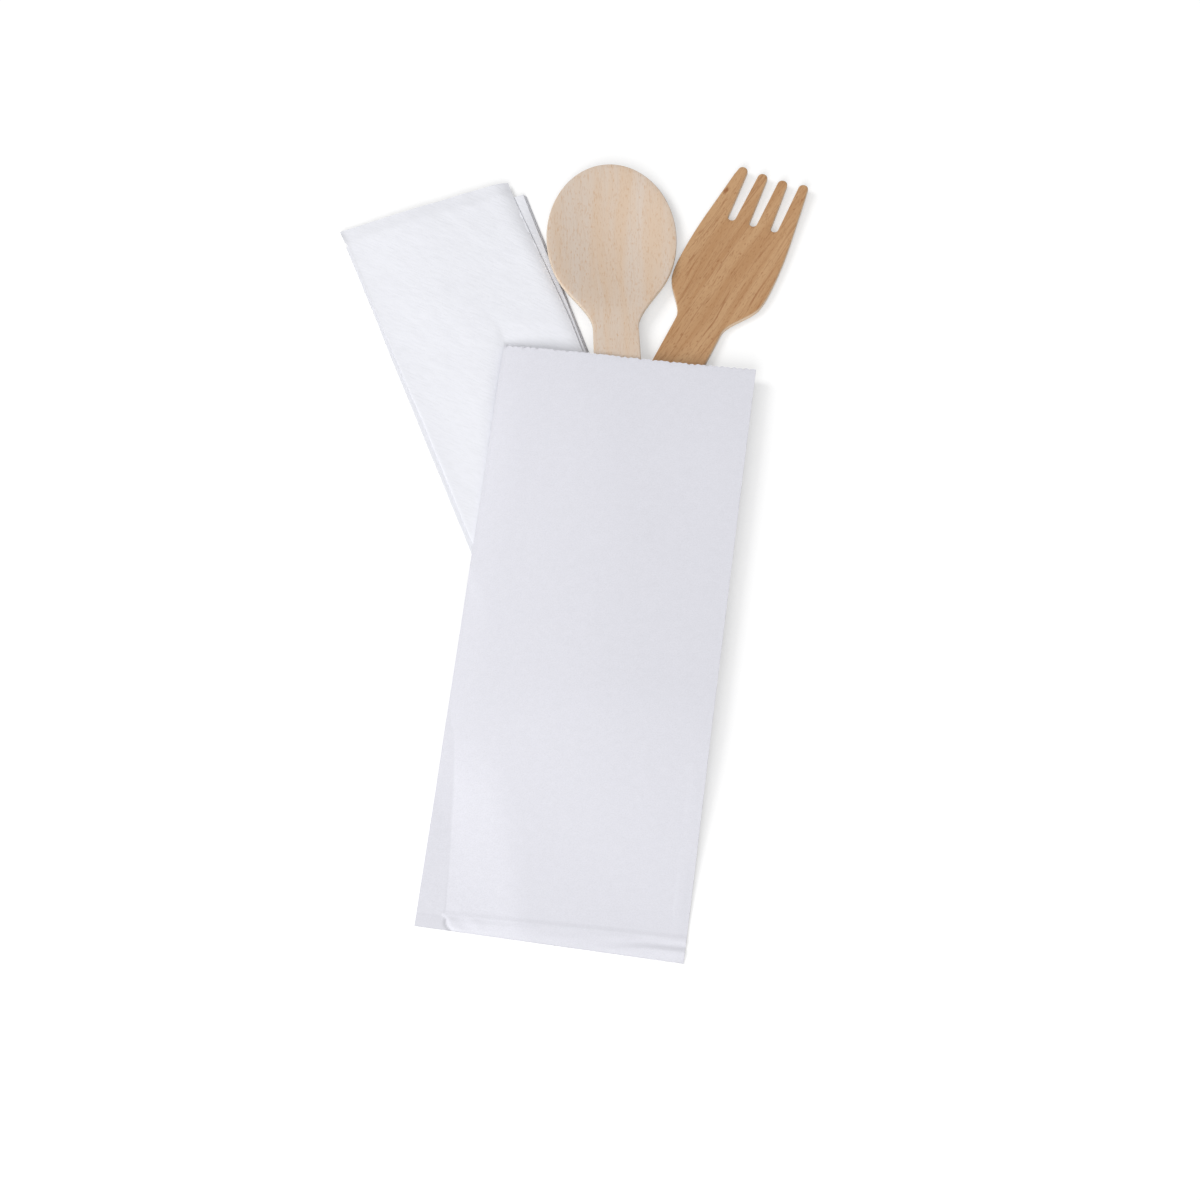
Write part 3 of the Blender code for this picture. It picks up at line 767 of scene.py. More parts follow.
@dataclass
class Cutlery:
    """What the spoon and the fork share: a blank with a straight round-ended handle, pressed to shape."""

    name: str
    node: str
    place: Place
    finish: WoodFinish
    neck: float
    neck_width: float
    length: float = 160 * MM
    end_width: float = 14.5 * MM
    widest_at: float = 150 * MM
    edge_round: float = 0.28 * MM
    arc_steps: int = 14
    head_cell: float = 1.6 * MM
    handle_cell: float = 6.0 * MM
    column: float = 1.9 * MM
    edge_segments: int = 3
    handle_steps: int = 8
    smooth_angle: float = math.radians(40)

    @property
    def widest_reach(self) -> float:
        """Returns the reach at which the handle is widest, where its round end starts."""
        return min(self.widest_at, self.length - self.end_width / 2)

    def handle_half(self, reach: float) -> float:
        """Works out half the handle's width, which grows from the neck and ends in a round.

        Args:
            reach: distance from the tip.

        Returns:
            Half the width.
        """
        widest = self.widest_reach
        if reach <= widest:
            share = clamp((reach - self.neck) / (widest - self.neck))
            return mix(self.neck_width, self.end_width, share) / 2
        end = clamp((reach - widest) / (self.length - widest))
        return self.end_width / 2 * math.sqrt(1 - end**2)

    def body_outline(self, reaches: list[float], shoulder: float) -> list[tuple[float, float]]:
        """Draws the outline from the head's right side round the handle to its left side.

        Args:
            reaches: reaches of the head's points, from its tip.
            shoulder: reach at which the hollow between the head and the handle starts.

        Returns:
            The points, clockwise.
        """
        widest = self.widest_reach
        hollow = [mix(shoulder, self.neck, i / self.arc_steps) for i in range(self.arc_steps)]
        handle = [mix(self.neck, widest, i / self.handle_steps) for i in range(self.handle_steps)]
        turns = arc(self.arc_steps, 0, math.pi / 2)[:-1]
        end = [mix(widest, self.length, math.sin(turn)) for turn in turns]
        right = [(self.half_width(reach), -reach) for reach in reaches + hollow + handle + end]
        left = [(-x, y) for x, y in reversed(right)]
        return right + [(0.0, -self.length)] + left

    def half_width(self, reach: float) -> float:
        """Returns half the blank's width."""
        raise NotImplementedError

    def underside(self, x: float, reach: float) -> float:
        """Returns the height of the pressed underside."""
        raise NotImplementedError

    def outline(self) -> list[tuple[float, float]]:
        """Returns the blank's outline, clockwise from the tip."""
        raise NotImplementedError

    def cut_blank(self) -> bpy.types.Object:
        """Cuts the flat blank from veneer and rounds its edges a little.

        Returns:
            The blank, flat, in its own plan frame.
        """
        points = self.outline()
        bpy.ops.object.select_all(action="DESELECT")
        bpy.ops.mesh.primitive_circle_add(vertices=len(points), fill_type="NGON")
        blank = bpy.context.object
        blank.name = self.name
        for vert, (x, y) in zip(blank.data.vertices, points):
            vert.co = (x, y, 0.0)
        bpy.ops.object.mode_set(mode="EDIT")
        bpy.ops.mesh.select_mode(type="FACE")
        bpy.ops.mesh.select_all(action="SELECT")
        bpy.ops.mesh.extrude_region_move(TRANSFORM_OT_translate={"value": (0.0, 0.0, WOOD)})
        bpy.ops.mesh.select_all(action="SELECT")
        bpy.ops.mesh.normals_make_consistent(inside=False)
        bpy.ops.mesh.select_mode(type="EDGE")
        bpy.ops.mesh.select_all(action="DESELECT")
        bpy.ops.object.mode_set(mode="OBJECT")
        verts = blank.data.vertices
        for edge in blank.data.edges:
            a, b = (verts[i].co.z for i in edge.vertices)
            edge.select = abs(a - b) < WOOD / 2
        bpy.ops.object.mode_set(mode="EDIT")
        bpy.ops.mesh.bevel(
            offset=self.edge_round, segments=self.edge_segments, affect="EDGES", clamp_overlap=True
        )
        bpy.ops.object.mode_set(mode="OBJECT")
        self.mark_cut_edge(blank)
        return blank

    def mark_cut_edge(self, blank: bpy.types.Object) -> None:
        """Marks the sawn side of the blank, which is paler than its faces and made lighter still as a
        painted highlight.

        Args:
            blank: the flat blank.
        """
        layer = blank.data.attributes.new("cut_edge", "FLOAT", "POINT")
        for vert, item in zip(blank.data.vertices, layer.data):
            depth = min(vert.co.z, WOOD - vert.co.z)
            item.value = clamp(depth / self.edge_round)

    def score(self, blank: bpy.types.Object) -> None:
        """Cuts the blank's faces into cells, finer in the head, so that they can be pressed to shape.

        Args:
            blank: the flat blank.
        """
        alone(blank)
        half = max(x for x, _ in self.outline())
        count = int(half / self.column)
        planes = [((self.column * i, 0.0, 0.0), (1.0, 0.0, 0.0)) for i in range(-count, count + 1)]
        head = int(self.neck / self.head_cell)
        reaches = [self.head_cell * i for i in range(1, head + 1)]
        rest = int((self.length - self.neck) / self.handle_cell)
        reaches += [self.neck + self.handle_cell * i for i in range(rest)]
        planes += [((0.0, -reach, 0.0), (0.0, 1.0, 0.0)) for reach in reaches]
        bpy.ops.object.mode_set(mode="EDIT")
        for point, normal in planes:
            bpy.ops.mesh.select_all(action="SELECT")
            bpy.ops.mesh.bisect(plane_co=point, plane_no=normal)
        bpy.ops.object.mode_set(mode="OBJECT")

    def press(self, blank: bpy.types.Object) -> None:
        """Presses the flat blank, so that its underside takes the piece's form."""
        for vert in blank.data.vertices:
            vert.co.z += self.underside(vert.co.x, -vert.co.y)

    def build(self, wood: bpy.types.NodeTree) -> bpy.types.Object:
        """Makes the finished piece.

        Args:
            wood: the group of wood grain.

        Returns:
            The piece, which replaces its solid.
        """
        piece = self.cut_blank()
        self.score(piece)
        self.press(piece)
        lay_down(piece, self.place, self.smooth_angle)
        piece.data.materials.append(self.finish.build(self.place, wood))
        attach(piece, "root")
        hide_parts(self.node)
        return piece


@dataclass
class Spoon(Cutlery):
    """The spoon: an oval bowl, a hollow shoulder and the handle."""

    bowl_width: float = 34.3 * MM
    bowl_length: float = 48 * MM
    bowl_depth: float = 2.0 * MM
    bowl_power: float = 1.5
    shoulder: float = 40 * MM
    bend_start: float = 20 * MM
    bend_end: float = 92 * MM

    def bowl_half(self, reach: float) -> float:
        """Returns half the width of the oval that the bowl is cut to."""
        along = (reach - self.bowl_length / 2) / (self.bowl_length / 2)
        return self.bowl_width / 2 * math.sqrt(max(0.0, 1 - along**2))

    def half_width(self, reach: float) -> float:
        """Works out half the blank's width: the oval, the shoulder, then the handle.

        Args:
            reach: distance from the tip.

        Returns:
            Half the width.
        """
        if reach <= self.shoulder:
            return self.bowl_half(reach)
        if reach >= self.neck:
            return self.handle_half(reach)
        start = self.bowl_half(self.shoulder)
        past_middle = self.shoulder - self.bowl_length / 2
        slope = -((self.bowl_width / self.bowl_length) ** 2) * past_middle / start
        span = self.neck - self.shoulder
        share = (reach - self.shoulder) / span
        return hermite(share, start, slope, self.neck_width / 2, 0.0, span)

    def level(self, reach: float) -> float:
        """Returns the height of the underside along the rim and the handle."""
        rim = max(STACK + REST_GAP, self.bowl_depth + TABLE_GAP)
        return mix(rim, SPOON_REST, ease((reach - self.bend_start) / (self.bend_end - self.bend_start)))

    def underside(self, x: float, reach: float) -> float:
        """Works out the height of the underside, lowest in the bowl.

        Args:
            x: place across.
            reach: distance from the tip.

        Returns:
            The height above the table.
        """
        across = x / (self.bowl_width / 2)
        along = (reach - self.bowl_length / 2) / (self.bowl_length / 2)
        inside = max(0.0, 1 - across**2 - along**2)
        return self.level(reach) - self.bowl_depth * inside**self.bowl_power

    def outline(self) -> list[tuple[float, float]]:
        """Draws the blank's outline.

        Returns:
            The points, clockwise from the tip.
        """
        half = self.bowl_length / 2
        turns = arc(3 * self.arc_steps, 0, math.pi / 2)[1:]
        tip = [half * (1 - math.cos(turn)) for turn in turns]
        steps = int((self.shoulder - half) / self.head_cell)
        side = [mix(half, self.shoulder, i / steps) for i in range(1, steps)]
        return [(0.0, 0.0)] + self.body_outline(tip + side, self.shoulder)


@dataclass
class Fork(Cutlery):
    """The fork: a head with round-ended tines, a shallow belly and the handle."""

    head_width: float = 26.2 * MM
    tip_width: float = 19.6 * MM
    head_widest: float = 34 * MM
    shoulder_width: float = 25.3 * MM
    shoulder: float = 39 * MM
    tines: int = 4
    tine_length: float = 17.0 * MM
    last_tine_extra: float = 0.6 * MM
    tip_step: float = 0.13 * MM
    slot_step: float = 0.47 * MM
    slot_lean: float = 0.5 * MM
    tip_pitch: float = 5.66 * MM
    root_pitch: float = 5.95 * MM
    slot_width: float = 2.0 * MM
    slot_mouth: float = 3.0 * MM
    tine_rise: float = 1.0 * MM
    dish: float = 0.5 * MM
    belly: float = 32 * MM
    bend_end: float = 98 * MM
    side_start: float = 3.0 * MM

    def half_width(self, reach: float) -> float:
        """Works out half the blank's width: straight along the tines, then swelling to its widest.

        Args:
            reach: distance from the tip.

        Returns:
            Half the width.
        """
        widest = self.head_width / 2
        span = self.head_widest - self.tine_length
        swell = (widest - self.tip_width / 2) / (span**2 + 2 * span * self.tine_length)
        narrowing = (widest - self.shoulder_width / 2) / (self.shoulder - self.head_widest) ** 2
        if reach < self.tine_length:
            return self.tip_width / 2 + 2 * swell * span * reach
        if reach < self.head_widest:
            return widest - swell * (self.head_widest - reach) ** 2
        if reach < self.shoulder:
            return widest - narrowing * (reach - self.head_widest) ** 2
        if reach >= self.neck:
            return self.handle_half(reach)
        slope = -2 * narrowing * (self.shoulder - self.head_widest)
        span = self.neck - self.shoulder
        share = (reach - self.shoulder) / span
        return hermite(share, self.shoulder_width / 2, slope, self.neck_width / 2, 0.0, span)

    def underside(self, x: float, reach: float) -> float:
        """Works out the height of the underside: level in the pouch, lowest at the belly.

        Args:
            x: place across.
            reach: distance from the tip.

        Returns:
            The height above the table.
        """
        if reach >= self.belly:
            level = mix(TABLE_GAP, FORK_REST, ease((reach - self.belly) / (self.bend_end - self.belly)))
        else:
            level = TABLE_GAP + self.tine_rise * (1 - reach / self.belly) ** 2
        head = 1 - ease((reach - self.belly) / (self.neck - self.belly))
        return level + self.dish * head * (x / (self.head_width / 2)) ** 2

    def slot_side(self, slot: int, side: int, reach: float) -> float:
        """Finds one side of a slot.

        Args:
            slot: the slot's number, from the left.
            side: -1 for its left side, 1 for its right.
            reach: distance from the tip.

        Returns:
            The place across.
        """
        share = reach / self.tine_length
        centre = (slot - (self.tines - 2) / 2) * mix(self.tip_pitch, self.root_pitch, share)
        return centre + self.slot_lean * share + side * mix(self.slot_mouth, self.slot_width, share) / 2

    def tine_tip(self, tine: int) -> list[tuple[float, float]]:
        """Draws a tine's round end.

        Args:
            tine: the tine's number, from the left.

        Returns:
            The points, from its left side to its right.
        """
        left = -self.half_width(0.0) if tine == 0 else self.slot_side(tine - 1, 1, 0.0)
        right = self.half_width(0.0) if tine == self.tines - 1 else self.slot_side(tine, -1, 0.0)
        radius, middle = (right - left) / 2, (right + left) / 2
        top = self.tip_step * (tine + 1)
        if tine == self.tines - 1:
            top += self.last_tine_extra
        turns = arc(self.arc_steps)
        return [(middle - radius * math.cos(turn), top - radius * (1 - math.sin(turn))) for turn in turns]

    def slot_end(self, slot: int) -> list[tuple[float, float]]:
        """Draws a slot's round closed end.

        Args:
            slot: the slot's number, from the left.

        Returns:
            The points, from its left side to its right.
        """
        radius = self.slot_width / 2
        reach = self.tine_length - self.slot_step * (slot + 1) - radius
        middle = (self.slot_side(slot, -1, reach) + self.slot_side(slot, 1, reach)) / 2
        turns = arc(self.arc_steps)
        return [(middle - radius * math.cos(turn), -reach - radius * math.sin(turn)) for turn in turns]

    def outline(self) -> list[tuple[float, float]]:
        """Draws the blank's outline.

        Returns:
            The points, clockwise from the first tine.
        """
        head = self.tine_tip(0)
        for tine in range(1, self.tines):
            head += self.slot_end(tine - 1) + self.tine_tip(tine)
        steps = int((self.shoulder - self.side_start) / self.head_cell)
        side = [mix(self.side_start, self.shoulder, i / steps) for i in range(steps)]
        return head + self.body_outline(side, self.shoulder)


# The napkin


@dataclass
class Napkin:
    """One square of tissue, folded in half and then to and fro into a narrow stack."""

    place: Place
    finish: TissueFinish
    mouth: Place
    mouth_half: float
    spoon: Spoon
    # Panels and folds
    right_edge: float = 50.3 * MM
    front_width: float = 46.6 * MM
    front_widening: float = 1.9 * MM
    widening_length: float = 45 * MM
    right_stagger: float = 0.5 * MM
    left_stagger: float = 0.12 * MM
    left_lean: float = 0.8 * MM
    lean_length: float = 75 * MM
    fold_waver: float = 0.2 * MM
    left_waver: Pattern = Pattern(14 * MM, 5.5)
    right_waver: Pattern = Pattern(14 * MM, 9.1)
    length: float = 148 * MM
    overhang: float = 4.8 * MM
    jut: float = 0.6 * MM
    jut_start: float = 0.2 * MM
    jut_ramp: float = 0.9 * MM
    jut_width: float = 9 * MM
    skew: float = math.tan(math.radians(1.1))
    cut_size: float = 300 * MM
    # Steps of the mesh
    front_steps: int = 90
    second_steps: int = 24
    panel_steps: int = 10
    fold_steps: int = 6
    band_steps: int = 7
    outer_steps: int = 160
    inner_steps: int = 62
    edge_reach: float = 1.0 * MM
    # How the front panel rises where nothing lies on it
    lift: float = 1.0 * MM
    lift_ramp: float = 22 * MM
    sink_above: float = 10 * MM
    sink_beside: float = 5 * MM
    sink_round: float = 3.5 * MM
    shoulder: float = 4.5 * MM
    # Droop of the top band, waves, puckers and crepe
    droop: float = 0.35 * MM
    droop_start: float = 0.5 * MM
    wave: float = 0.16 * MM
    broad_wave: Pattern = Pattern(17 * MM, 3.1)
    small_wave: Pattern = Pattern(8 * MM, 8.7)
    small_share: float = 0.4
    pucker: float = 0.22 * MM
    puckers: Pattern = Pattern(3.0 * MM, 1.7)
    pucker_stretch: float = 0.6
    pucker_least: float = 0.3
    pucker_start: tuple[float, float] = (15 * MM, -2 * MM)
    pucker_ramp: tuple[float, float] = (20 * MM, 4 * MM)
    crepe: float = 0.05 * MM
    creases: Pattern = Pattern(2.4 * MM, 2.9)
    crease_stretch: float = 0.3
    dimples: Pattern = Pattern(3.0 * MM, 7.3)
    dimple_share: float = 0.7
    # Painted shade at the left folds and on the right edge's strips, and a patchy greyer top band
    shade_and_grey: Pattern = Pattern(5 * MM, 6.6)
    grey_patch_range: tuple[float, float] = (0.8, 0.7)
    band_grey: float = 0.3
    band_ramp: float = 1.6 * MM
    left_start: float = 0.3 * MM
    left_ramp: float = 0.8 * MM
    right_shade: tuple[float, float] = (0.9, 0.4)
    right_ramp: tuple[float, float] = (1.0 * MM, 2.5 * MM)
    right_shade_below: float = 12 * MM
    # How a sheet comes down to the table beside the napkin
    drape_start: float = 2.0 * MM
    drape_end: float = 8.0 * MM
    smooth_angle: float = math.radians(50)

    def below(self, x: float, y: float) -> float:
        """Tells whether the napkin lies below a table point.

        Args:
            x: the table point's place across.
            y: its place away from the viewer.

        Returns:
            1 over the napkin, 0 where a sheet has come down to the table beside it.
        """
        u, v = self.place.own(x, y)
        right = self.right_edge + self.skew * v
        outside = max(-u, u - right, v, -v - self.length)
        return 1 - ease((outside - self.drape_start) / (self.drape_end - self.drape_start))

    def room(self, x: float, y: float) -> float:
        """Tells how free the napkin is to rise at a point of its plan frame.

        Args:
            x: place across.
            y: place along.

        Returns:
            1 where nothing lies on the napkin, 0 under the pouch and the spoon.
        """
        table = self.place.on_table(x, y)
        u, v = self.mouth.own(*table)
        beside_pouch = clamp(max(v / self.sink_above, (-self.mouth_half - u) / self.sink_beside))
        across, up = self.spoon.place.own(*table)
        half_width, half_length = self.spoon.bowl_width / 2, self.spoon.bowl_length / 2
        beside_bowl = (math.hypot(across / half_width, up / half_length + 1) - 1) * half_width
        return (1 - (1 - beside_pouch) ** 2) * ease(beside_bowl / self.sink_round)

    def path(self) -> list[tuple[float, float, float, float, float]]:
        """Lists stations along the middle of the folded sheet.

        Returns:
            For each station its place across, its height, its normal's two parts, and its panel's number,
            which is a fraction in a fold.
        """
        rise = PAIR + PLY_GAP
        radius = rise / 2
        top = PANELS - 1
        stations = []
        for panel in range(PANELS):
            behind = top - panel
            leftward = behind % 2 == 1
            height = PAIR / 2 + rise * panel
            left = self.left_stagger * (2 - behind // 2) + radius
            right = self.right_edge - self.right_stagger * (3 - (behind + 1) // 2) - radius
            steps = self.panel_steps
            if panel == top:
                right = self.front_width
                steps = self.front_steps
            if panel == top - 1:
                steps = self.second_steps
            start, end = (right, left) if leftward else (left, right)
            normal = -1.0 if leftward else 1.0
            for i in range(steps + 1):
                stations.append((mix(start, end, i / steps), height, 0.0, normal, float(panel)))
            if panel == top:
                continue
            side = -1.0 if leftward else 1.0
            for turn in arc(self.fold_steps)[1:-1]:
                x = end + side * radius * math.sin(turn)
                z = height + radius * (1 - math.cos(turn))
                stations.append((x, z, -math.sin(turn), normal * math.cos(turn), panel + turn / math.pi))
        return stations

    def loop(self, front: float) -> list[tuple[float, float]]:
        """Lists the closed hairpin around the two plies, which join in the half fold.

        Args:
            front: 1 for the front panel, whose outer ply juts out at the top, 0 for the others.

        Returns:
            For each point its place along the panel and its offset from the panel's middle.
        """
        outer = PLY + PLY_GAP / 2
        inner = PLY_GAP / 2
        turn_at = outer - self.length
        top = self.overhang * front
        edge = -self.edge_reach
        band, many, few = self.band_steps, self.outer_steps, self.inner_steps
        turns = arc(self.fold_steps)
        points = [(mix(top, edge, i / band), outer) for i in range(band)]
        points += [(mix(edge, turn_at, i / many), outer) for i in range(many)]
        points += [(turn_at - outer * math.sin(turn), outer * math.cos(turn)) for turn in turns]
        points += [(mix(turn_at, 0.0, i / many), -outer) for i in range(1, many + 1)]
        points += [(mix(0.0, turn_at, i / few), -inner) for i in range(few)]
        points += [(turn_at - inner * math.sin(turn), -inner * math.cos(turn)) for turn in turns]
        points += [(mix(turn_at, edge, i / few), inner) for i in range(1, few + 1)]
        points += [(mix(edge, top, i / band), inner) for i in range(1, band + 1)]
        return points

    def strayed(self, x: float, y: float, panel: float) -> float:
        """Works out where a point of the soft sheet lies across, once its folds have strayed.

        Args:
            x: flat place across.
            y: place along.
            panel: the panel's number.

        Returns:
            The place across.
        """
        front = clamp(panel - (PANELS - 2))
        share = x / self.right_edge
        stray = front * self.front_widening * ease(clamp(-y / self.widening_length)) * share
        at_left = self.left_waver.at(0.0, y, panel // 2)
        at_right = self.right_waver.at(0.0, y, (panel + 1) // 2)
        stray += self.fold_waver * mix(at_left, at_right, share)
        leaning = clamp(panel - (PANELS - 3)) * self.left_lean
        stray += leaning * ease(-y / self.lean_length) * (1 - share)
        at_top = ease((y - self.jut_start) / self.jut_ramp)
        stray -= front * self.jut * at_top * (1 - ease(x / self.jut_width))
        return x + stray

    def raised(self, x: float, y: float, panel: float, outer: bool) -> float:
        """Works out how far a point of the soft sheet stands above its flat place.

        Args:
            x: flat place across.
            y: place along.
            panel: the panel's number.
            outer: whether the point is on one of the two outer faces.

        Returns:
            The change of height.
        """
        front = clamp(panel - (PANELS - 2))
        loose = ease((panel - 2) / (PANELS - 3))
        waves = self.broad_wave.at(x, y) + self.small_share * self.small_wave.at(x, y)
        height = loose * self.wave * waves
        if front <= 0:
            return height
        room = self.room(x, y)
        edge = clamp((x - self.front_width) / self.shoulder + 1)
        height += front * room * self.lift * ease(x / self.lift_ramp) * (1 - edge**2)
        past_top = (y + self.droop_start) / (self.overhang + self.droop_start)
        height -= front * self.droop * ease(past_top)
        worn = self.pucker_least + ease((x - self.pucker_start[0]) / self.pucker_ramp[0])
        near_top = ease((y - self.pucker_start[1]) / self.pucker_ramp[1])
        puckers = self.puckers.at(x * self.pucker_stretch, y)
        height += front * worn * self.pucker * near_top * puckers
        if outer:
            angle = self.finish.crepe_angle
            along = x * math.cos(angle) + y * math.sin(angle)
            across = y * math.cos(angle) - x * math.sin(angle)
            fine = self.creases.at(along * self.crease_stretch, across)
            fine += self.dimple_share * self.dimples.at(x, y)
            height += front * room * self.crepe * fine
        return height

    def worn(self, x: float, y: float, across: float, front: float) -> float:
        """Works out the painted shade at the left folds and on the right edge's strips, and the greyer top
        band.

        Args:
            x: flat place across.
            y: place along.
            across: place across in the folded stack.
            front: 1 for the front panel, 0 for the panels behind it.

        Returns:
            0 for plain tissue, up to about 1 at a fold.
        """
        patchy = self.grey_patch_range[0] + self.grey_patch_range[1] * self.shade_and_grey.at(x, y)
        band = front * patchy * ease((y - self.jut_start) / self.band_ramp)
        # A greyer top band, and painted shade at the left folds
        shade_and_grey = self.band_grey * band + 1 - ease((across - self.left_start) / self.left_ramp)
        below = ease(-y / self.right_shade_below)
        # Painted shade on the right edge: on the strips of the panels behind, and where the front panel
        # rounds down
        for share, depth, ramp in zip((1 - front, front), self.right_shade, self.right_ramp):
            shade_and_grey += share * depth * ease((x - self.front_width) / ramp + 1) * below
        return shade_and_grey

    def build(self, fibres: bpy.types.NodeTree) -> bpy.types.Object:
        """Makes the folded napkin.

        Args:
            fibres: the group of pressed fibres.

        Returns:
            The piece, which replaces its solid.
        """
        bm = bmesh.new()
        # The attribute holds the painted shade at the folds and the right edge, and the greyer top band
        shade_and_grey = bm.verts.layers.float.new("worn")
        loops = []
        for x, z, normal_x, normal_z, panel in self.path():
            front = clamp(panel - (PANELS - 2))
            row = []
            for y, offset in self.loop(front):
                flat = x + self.skew * y * x / self.right_edge + normal_x * offset
                across = self.strayed(flat, y, panel)
                change = self.raised(flat, y, panel, abs(offset) > PLY)
                vert = bm.verts.new((across, y, z + normal_z * offset + change))
                vert[shade_and_grey] = self.worn(x, y, across, front)
                row.append(vert)
            loops.append(row)
        count = len(loops[0])
        for first, second in zip(loops, loops[1:]):
            for i in range(count):
                after = (i + 1) % count
                bm.faces.new((first[i], second[i], second[after], first[after]))
        bm.faces.new(loops[0])
        bm.faces.new(loops[-1][::-1])
        bmesh.ops.triangulate(bm, faces=[face for face in bm.faces if len(face.verts) > 4])
        if bm.calc_volume(signed=True) < 0:
            bmesh.ops.reverse_faces(bm, faces=bm.faces)
        piece = piece_of("napkin_tissue", bm)
        lay_down(piece, self.place, self.smooth_angle)
        piece.data.materials.append(self.finish.build(self.place, fibres))
        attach(piece, "root")
        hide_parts("napkin")
        return piece


# The pouch


@dataclass
class Pouch:
    """One sheet of paper as a flat bag, with creased sides, a glued seam and foot, and a toothed mouth."""

    place: Place
    finish: PaperFinish
    spoon: Spoon
    napkin: Napkin
    # The folded sheet
    spoon_out: float = 61.4 * MM
    mouth_width: float = 66.3 * MM
    foot_width: float = 67.8 * MM
    length: float = 174.3 * MM
    paper: float = 0.15 * MM
    flat_size: tuple[float, float] = (141 * MM, 180 * MM)
    crease_gap: float = 0.1 * MM
    crease_solid: float = 0.6 * MM
    # The mouth and the foot, which run askew
    foot_skew: float = math.tan(math.radians(-2.4))
    mouth_skew: float = math.tan(math.radians(-0.7))
    mouth_sag: float = 0.85 * MM
    tooth_pitch: float = 1.6 * MM
    tooth_depth: float = 0.65 * MM
    tooth_range: tuple[float, float] = (0.35, 1.0)
    hem: float = 5.3 * MM
    hem_step: float = 0.2 * MM
    hem_ramp: float = 0.5 * MM
    foot_lift: float = 0.75 * MM
    # The glued seam along the left side
    seam_wide: float = 7.0 * MM
    seam_narrow: float = 0.8 * MM
    seam_length: float = 55 * MM
    seam_edge: tuple[float, float] = (6.0 * MM, 11.0 * MM)
    corner_lean: tuple[float, float] = (-0.8 * MM, 2.2 * MM)
    corner_share: float = 0.45
    # Relief near the foot: a curled corner, wrinkles and the inner edge's imprint
    curl: float = 0.3 * MM
    curl_round: float = 0.8 * MM
    curl_width: float = 4.5 * MM
    curl_start: float = 0.3 * MM
    curl_ramp: float = 2.2 * MM
    curl_end: float = 1.2 * MM
    dimple_place: tuple[float, float] = (7.6 * MM, 2.4 * MM)
    dimple_size: tuple[float, float] = (2.6 * MM, 3.0 * MM)
    dimple_share: float = 0.5
    hem_wrinkle: float = 0.35 * MM
    wrinkles: Pattern = Pattern(1.5 * MM, 9.4)
    wrinkle_stretch: float = 0.12
    wrinkle_share: tuple[float, float] = (0.2, 1.4)
    wrinkle_start: float = 12 * MM
    wrinkle_edge: float = 1.0 * MM
    inner_edge: float = 4.2 * MM
    inner_step: float = 0.09 * MM
    inner_ramp: float = 0.6 * MM
    inner_fade: float = 2.5 * MM
    inner_top: float = 118 * MM
    inner_top_ramp: float = 10 * MM
    inner_range: tuple[float, float] = (0.6, 0.8)
    inner_pattern: Pattern = Pattern(9 * MM, 4.4)
    # Buckles of the front wall
    buckle_broad: float = 0.14 * MM
    buckle_fine: float = 0.03 * MM
    broad_pattern: Pattern = Pattern(19 * MM, 2.3)
    fine_pattern: Pattern = Pattern(5 * MM, 6.1)
    buckle_stretch: float = 0.6
    buckle_side: float = 8 * MM
    buckle_hem: float = 10 * MM
    buckle_mouth: float = 6 * MM
    buckle_least: float = 0.3
    # The crown over the handles, and how it falls to the sides
    crown_slack: float = 0.4 * MM
    crown_at_mouth: float = -0.10
    crown_at_end: float = 0.26
    crown_power: float = 1.6
    left_share: tuple[float, float] = (0.72, 0.40)
    right_share: tuple[float, float] = (0.92, 0.80)
    side_roll: float = 4.2 * MM
    edge_drop: float = 1.15 * MM
    edge_drop_least: float = 0.4
    edge_drop_ramp: float = 40 * MM
    edge_roll: float = 9.0 * MM
    flap_drop: float = 1.6
    # Painted shade on the paper, sparing the lower left corner as a painted highlight, and a painted
    # shadow under the curl
    body_shade: float = 0.2
    lit_corner_top: float = 114 * MM
    lit_corner_ramp: float = 24 * MM
    lit_corner_edge: float = 9 * MM
    lit_corner_line: tuple[float, float, float] = (-0.967, 0.255, -50.7 * MM)
    strip_start: float = 0.3 * MM
    strip_ramp: float = 0.4 * MM
    strip_shade: float = 0.16
    hem_shade: float = 0.16
    hem_shade_ramp: float = 0.6 * MM
    seam_shade: float = 0.3
    seam_line: float = 0.3 * MM
    gap_shadow_width: tuple[float, float] = (0.6 * MM, 1.8 * MM)
    gap_shadow_start: float = 0.4 * MM
    gap_shadow_ramp: float = 1.5 * MM
    # Rows and columns of the mesh
    columns: int = 130
    strip_columns: int = 16
    ramp_columns: int = 26
    rows: int = 80
    edge_rows: int = 16
    edge_band: float = 12 * MM
    smooth_angle: float = math.radians(35)
    seed: int = 5
    teeth: list[float] = field(default_factory=list)

    def __post_init__(self) -> None:
        """Draws the depth of each tooth of the mouth, so that no two are alike."""
        draw = random.Random(self.seed)
        count = int(self.mouth_width / self.tooth_pitch) + 2
        self.teeth = [self.tooth_depth * draw.uniform(*self.tooth_range) for _ in range(count)]

    def half(self, depth: float) -> float:
        """Returns half the pouch's width."""
        return mix(self.mouth_width, self.foot_width, depth / self.length) / 2

    def seam_share(self, depth: float) -> float:
        """Returns 0 above the open part of the side seam, 1 at the hem."""
        hem = self.length - self.hem
        return math.sqrt(clamp((depth - (hem - self.seam_length)) / self.seam_length))

    def seam_width(self, depth: float) -> float:
        """Returns the width of the flat glued strip along the left side."""
        return mix(self.seam_narrow, self.seam_wide, self.seam_share(depth))

    def past_hem(self, depth: float) -> float:
        """Returns how far below the hem's line a depth lies."""
        return depth - self.length + self.hem

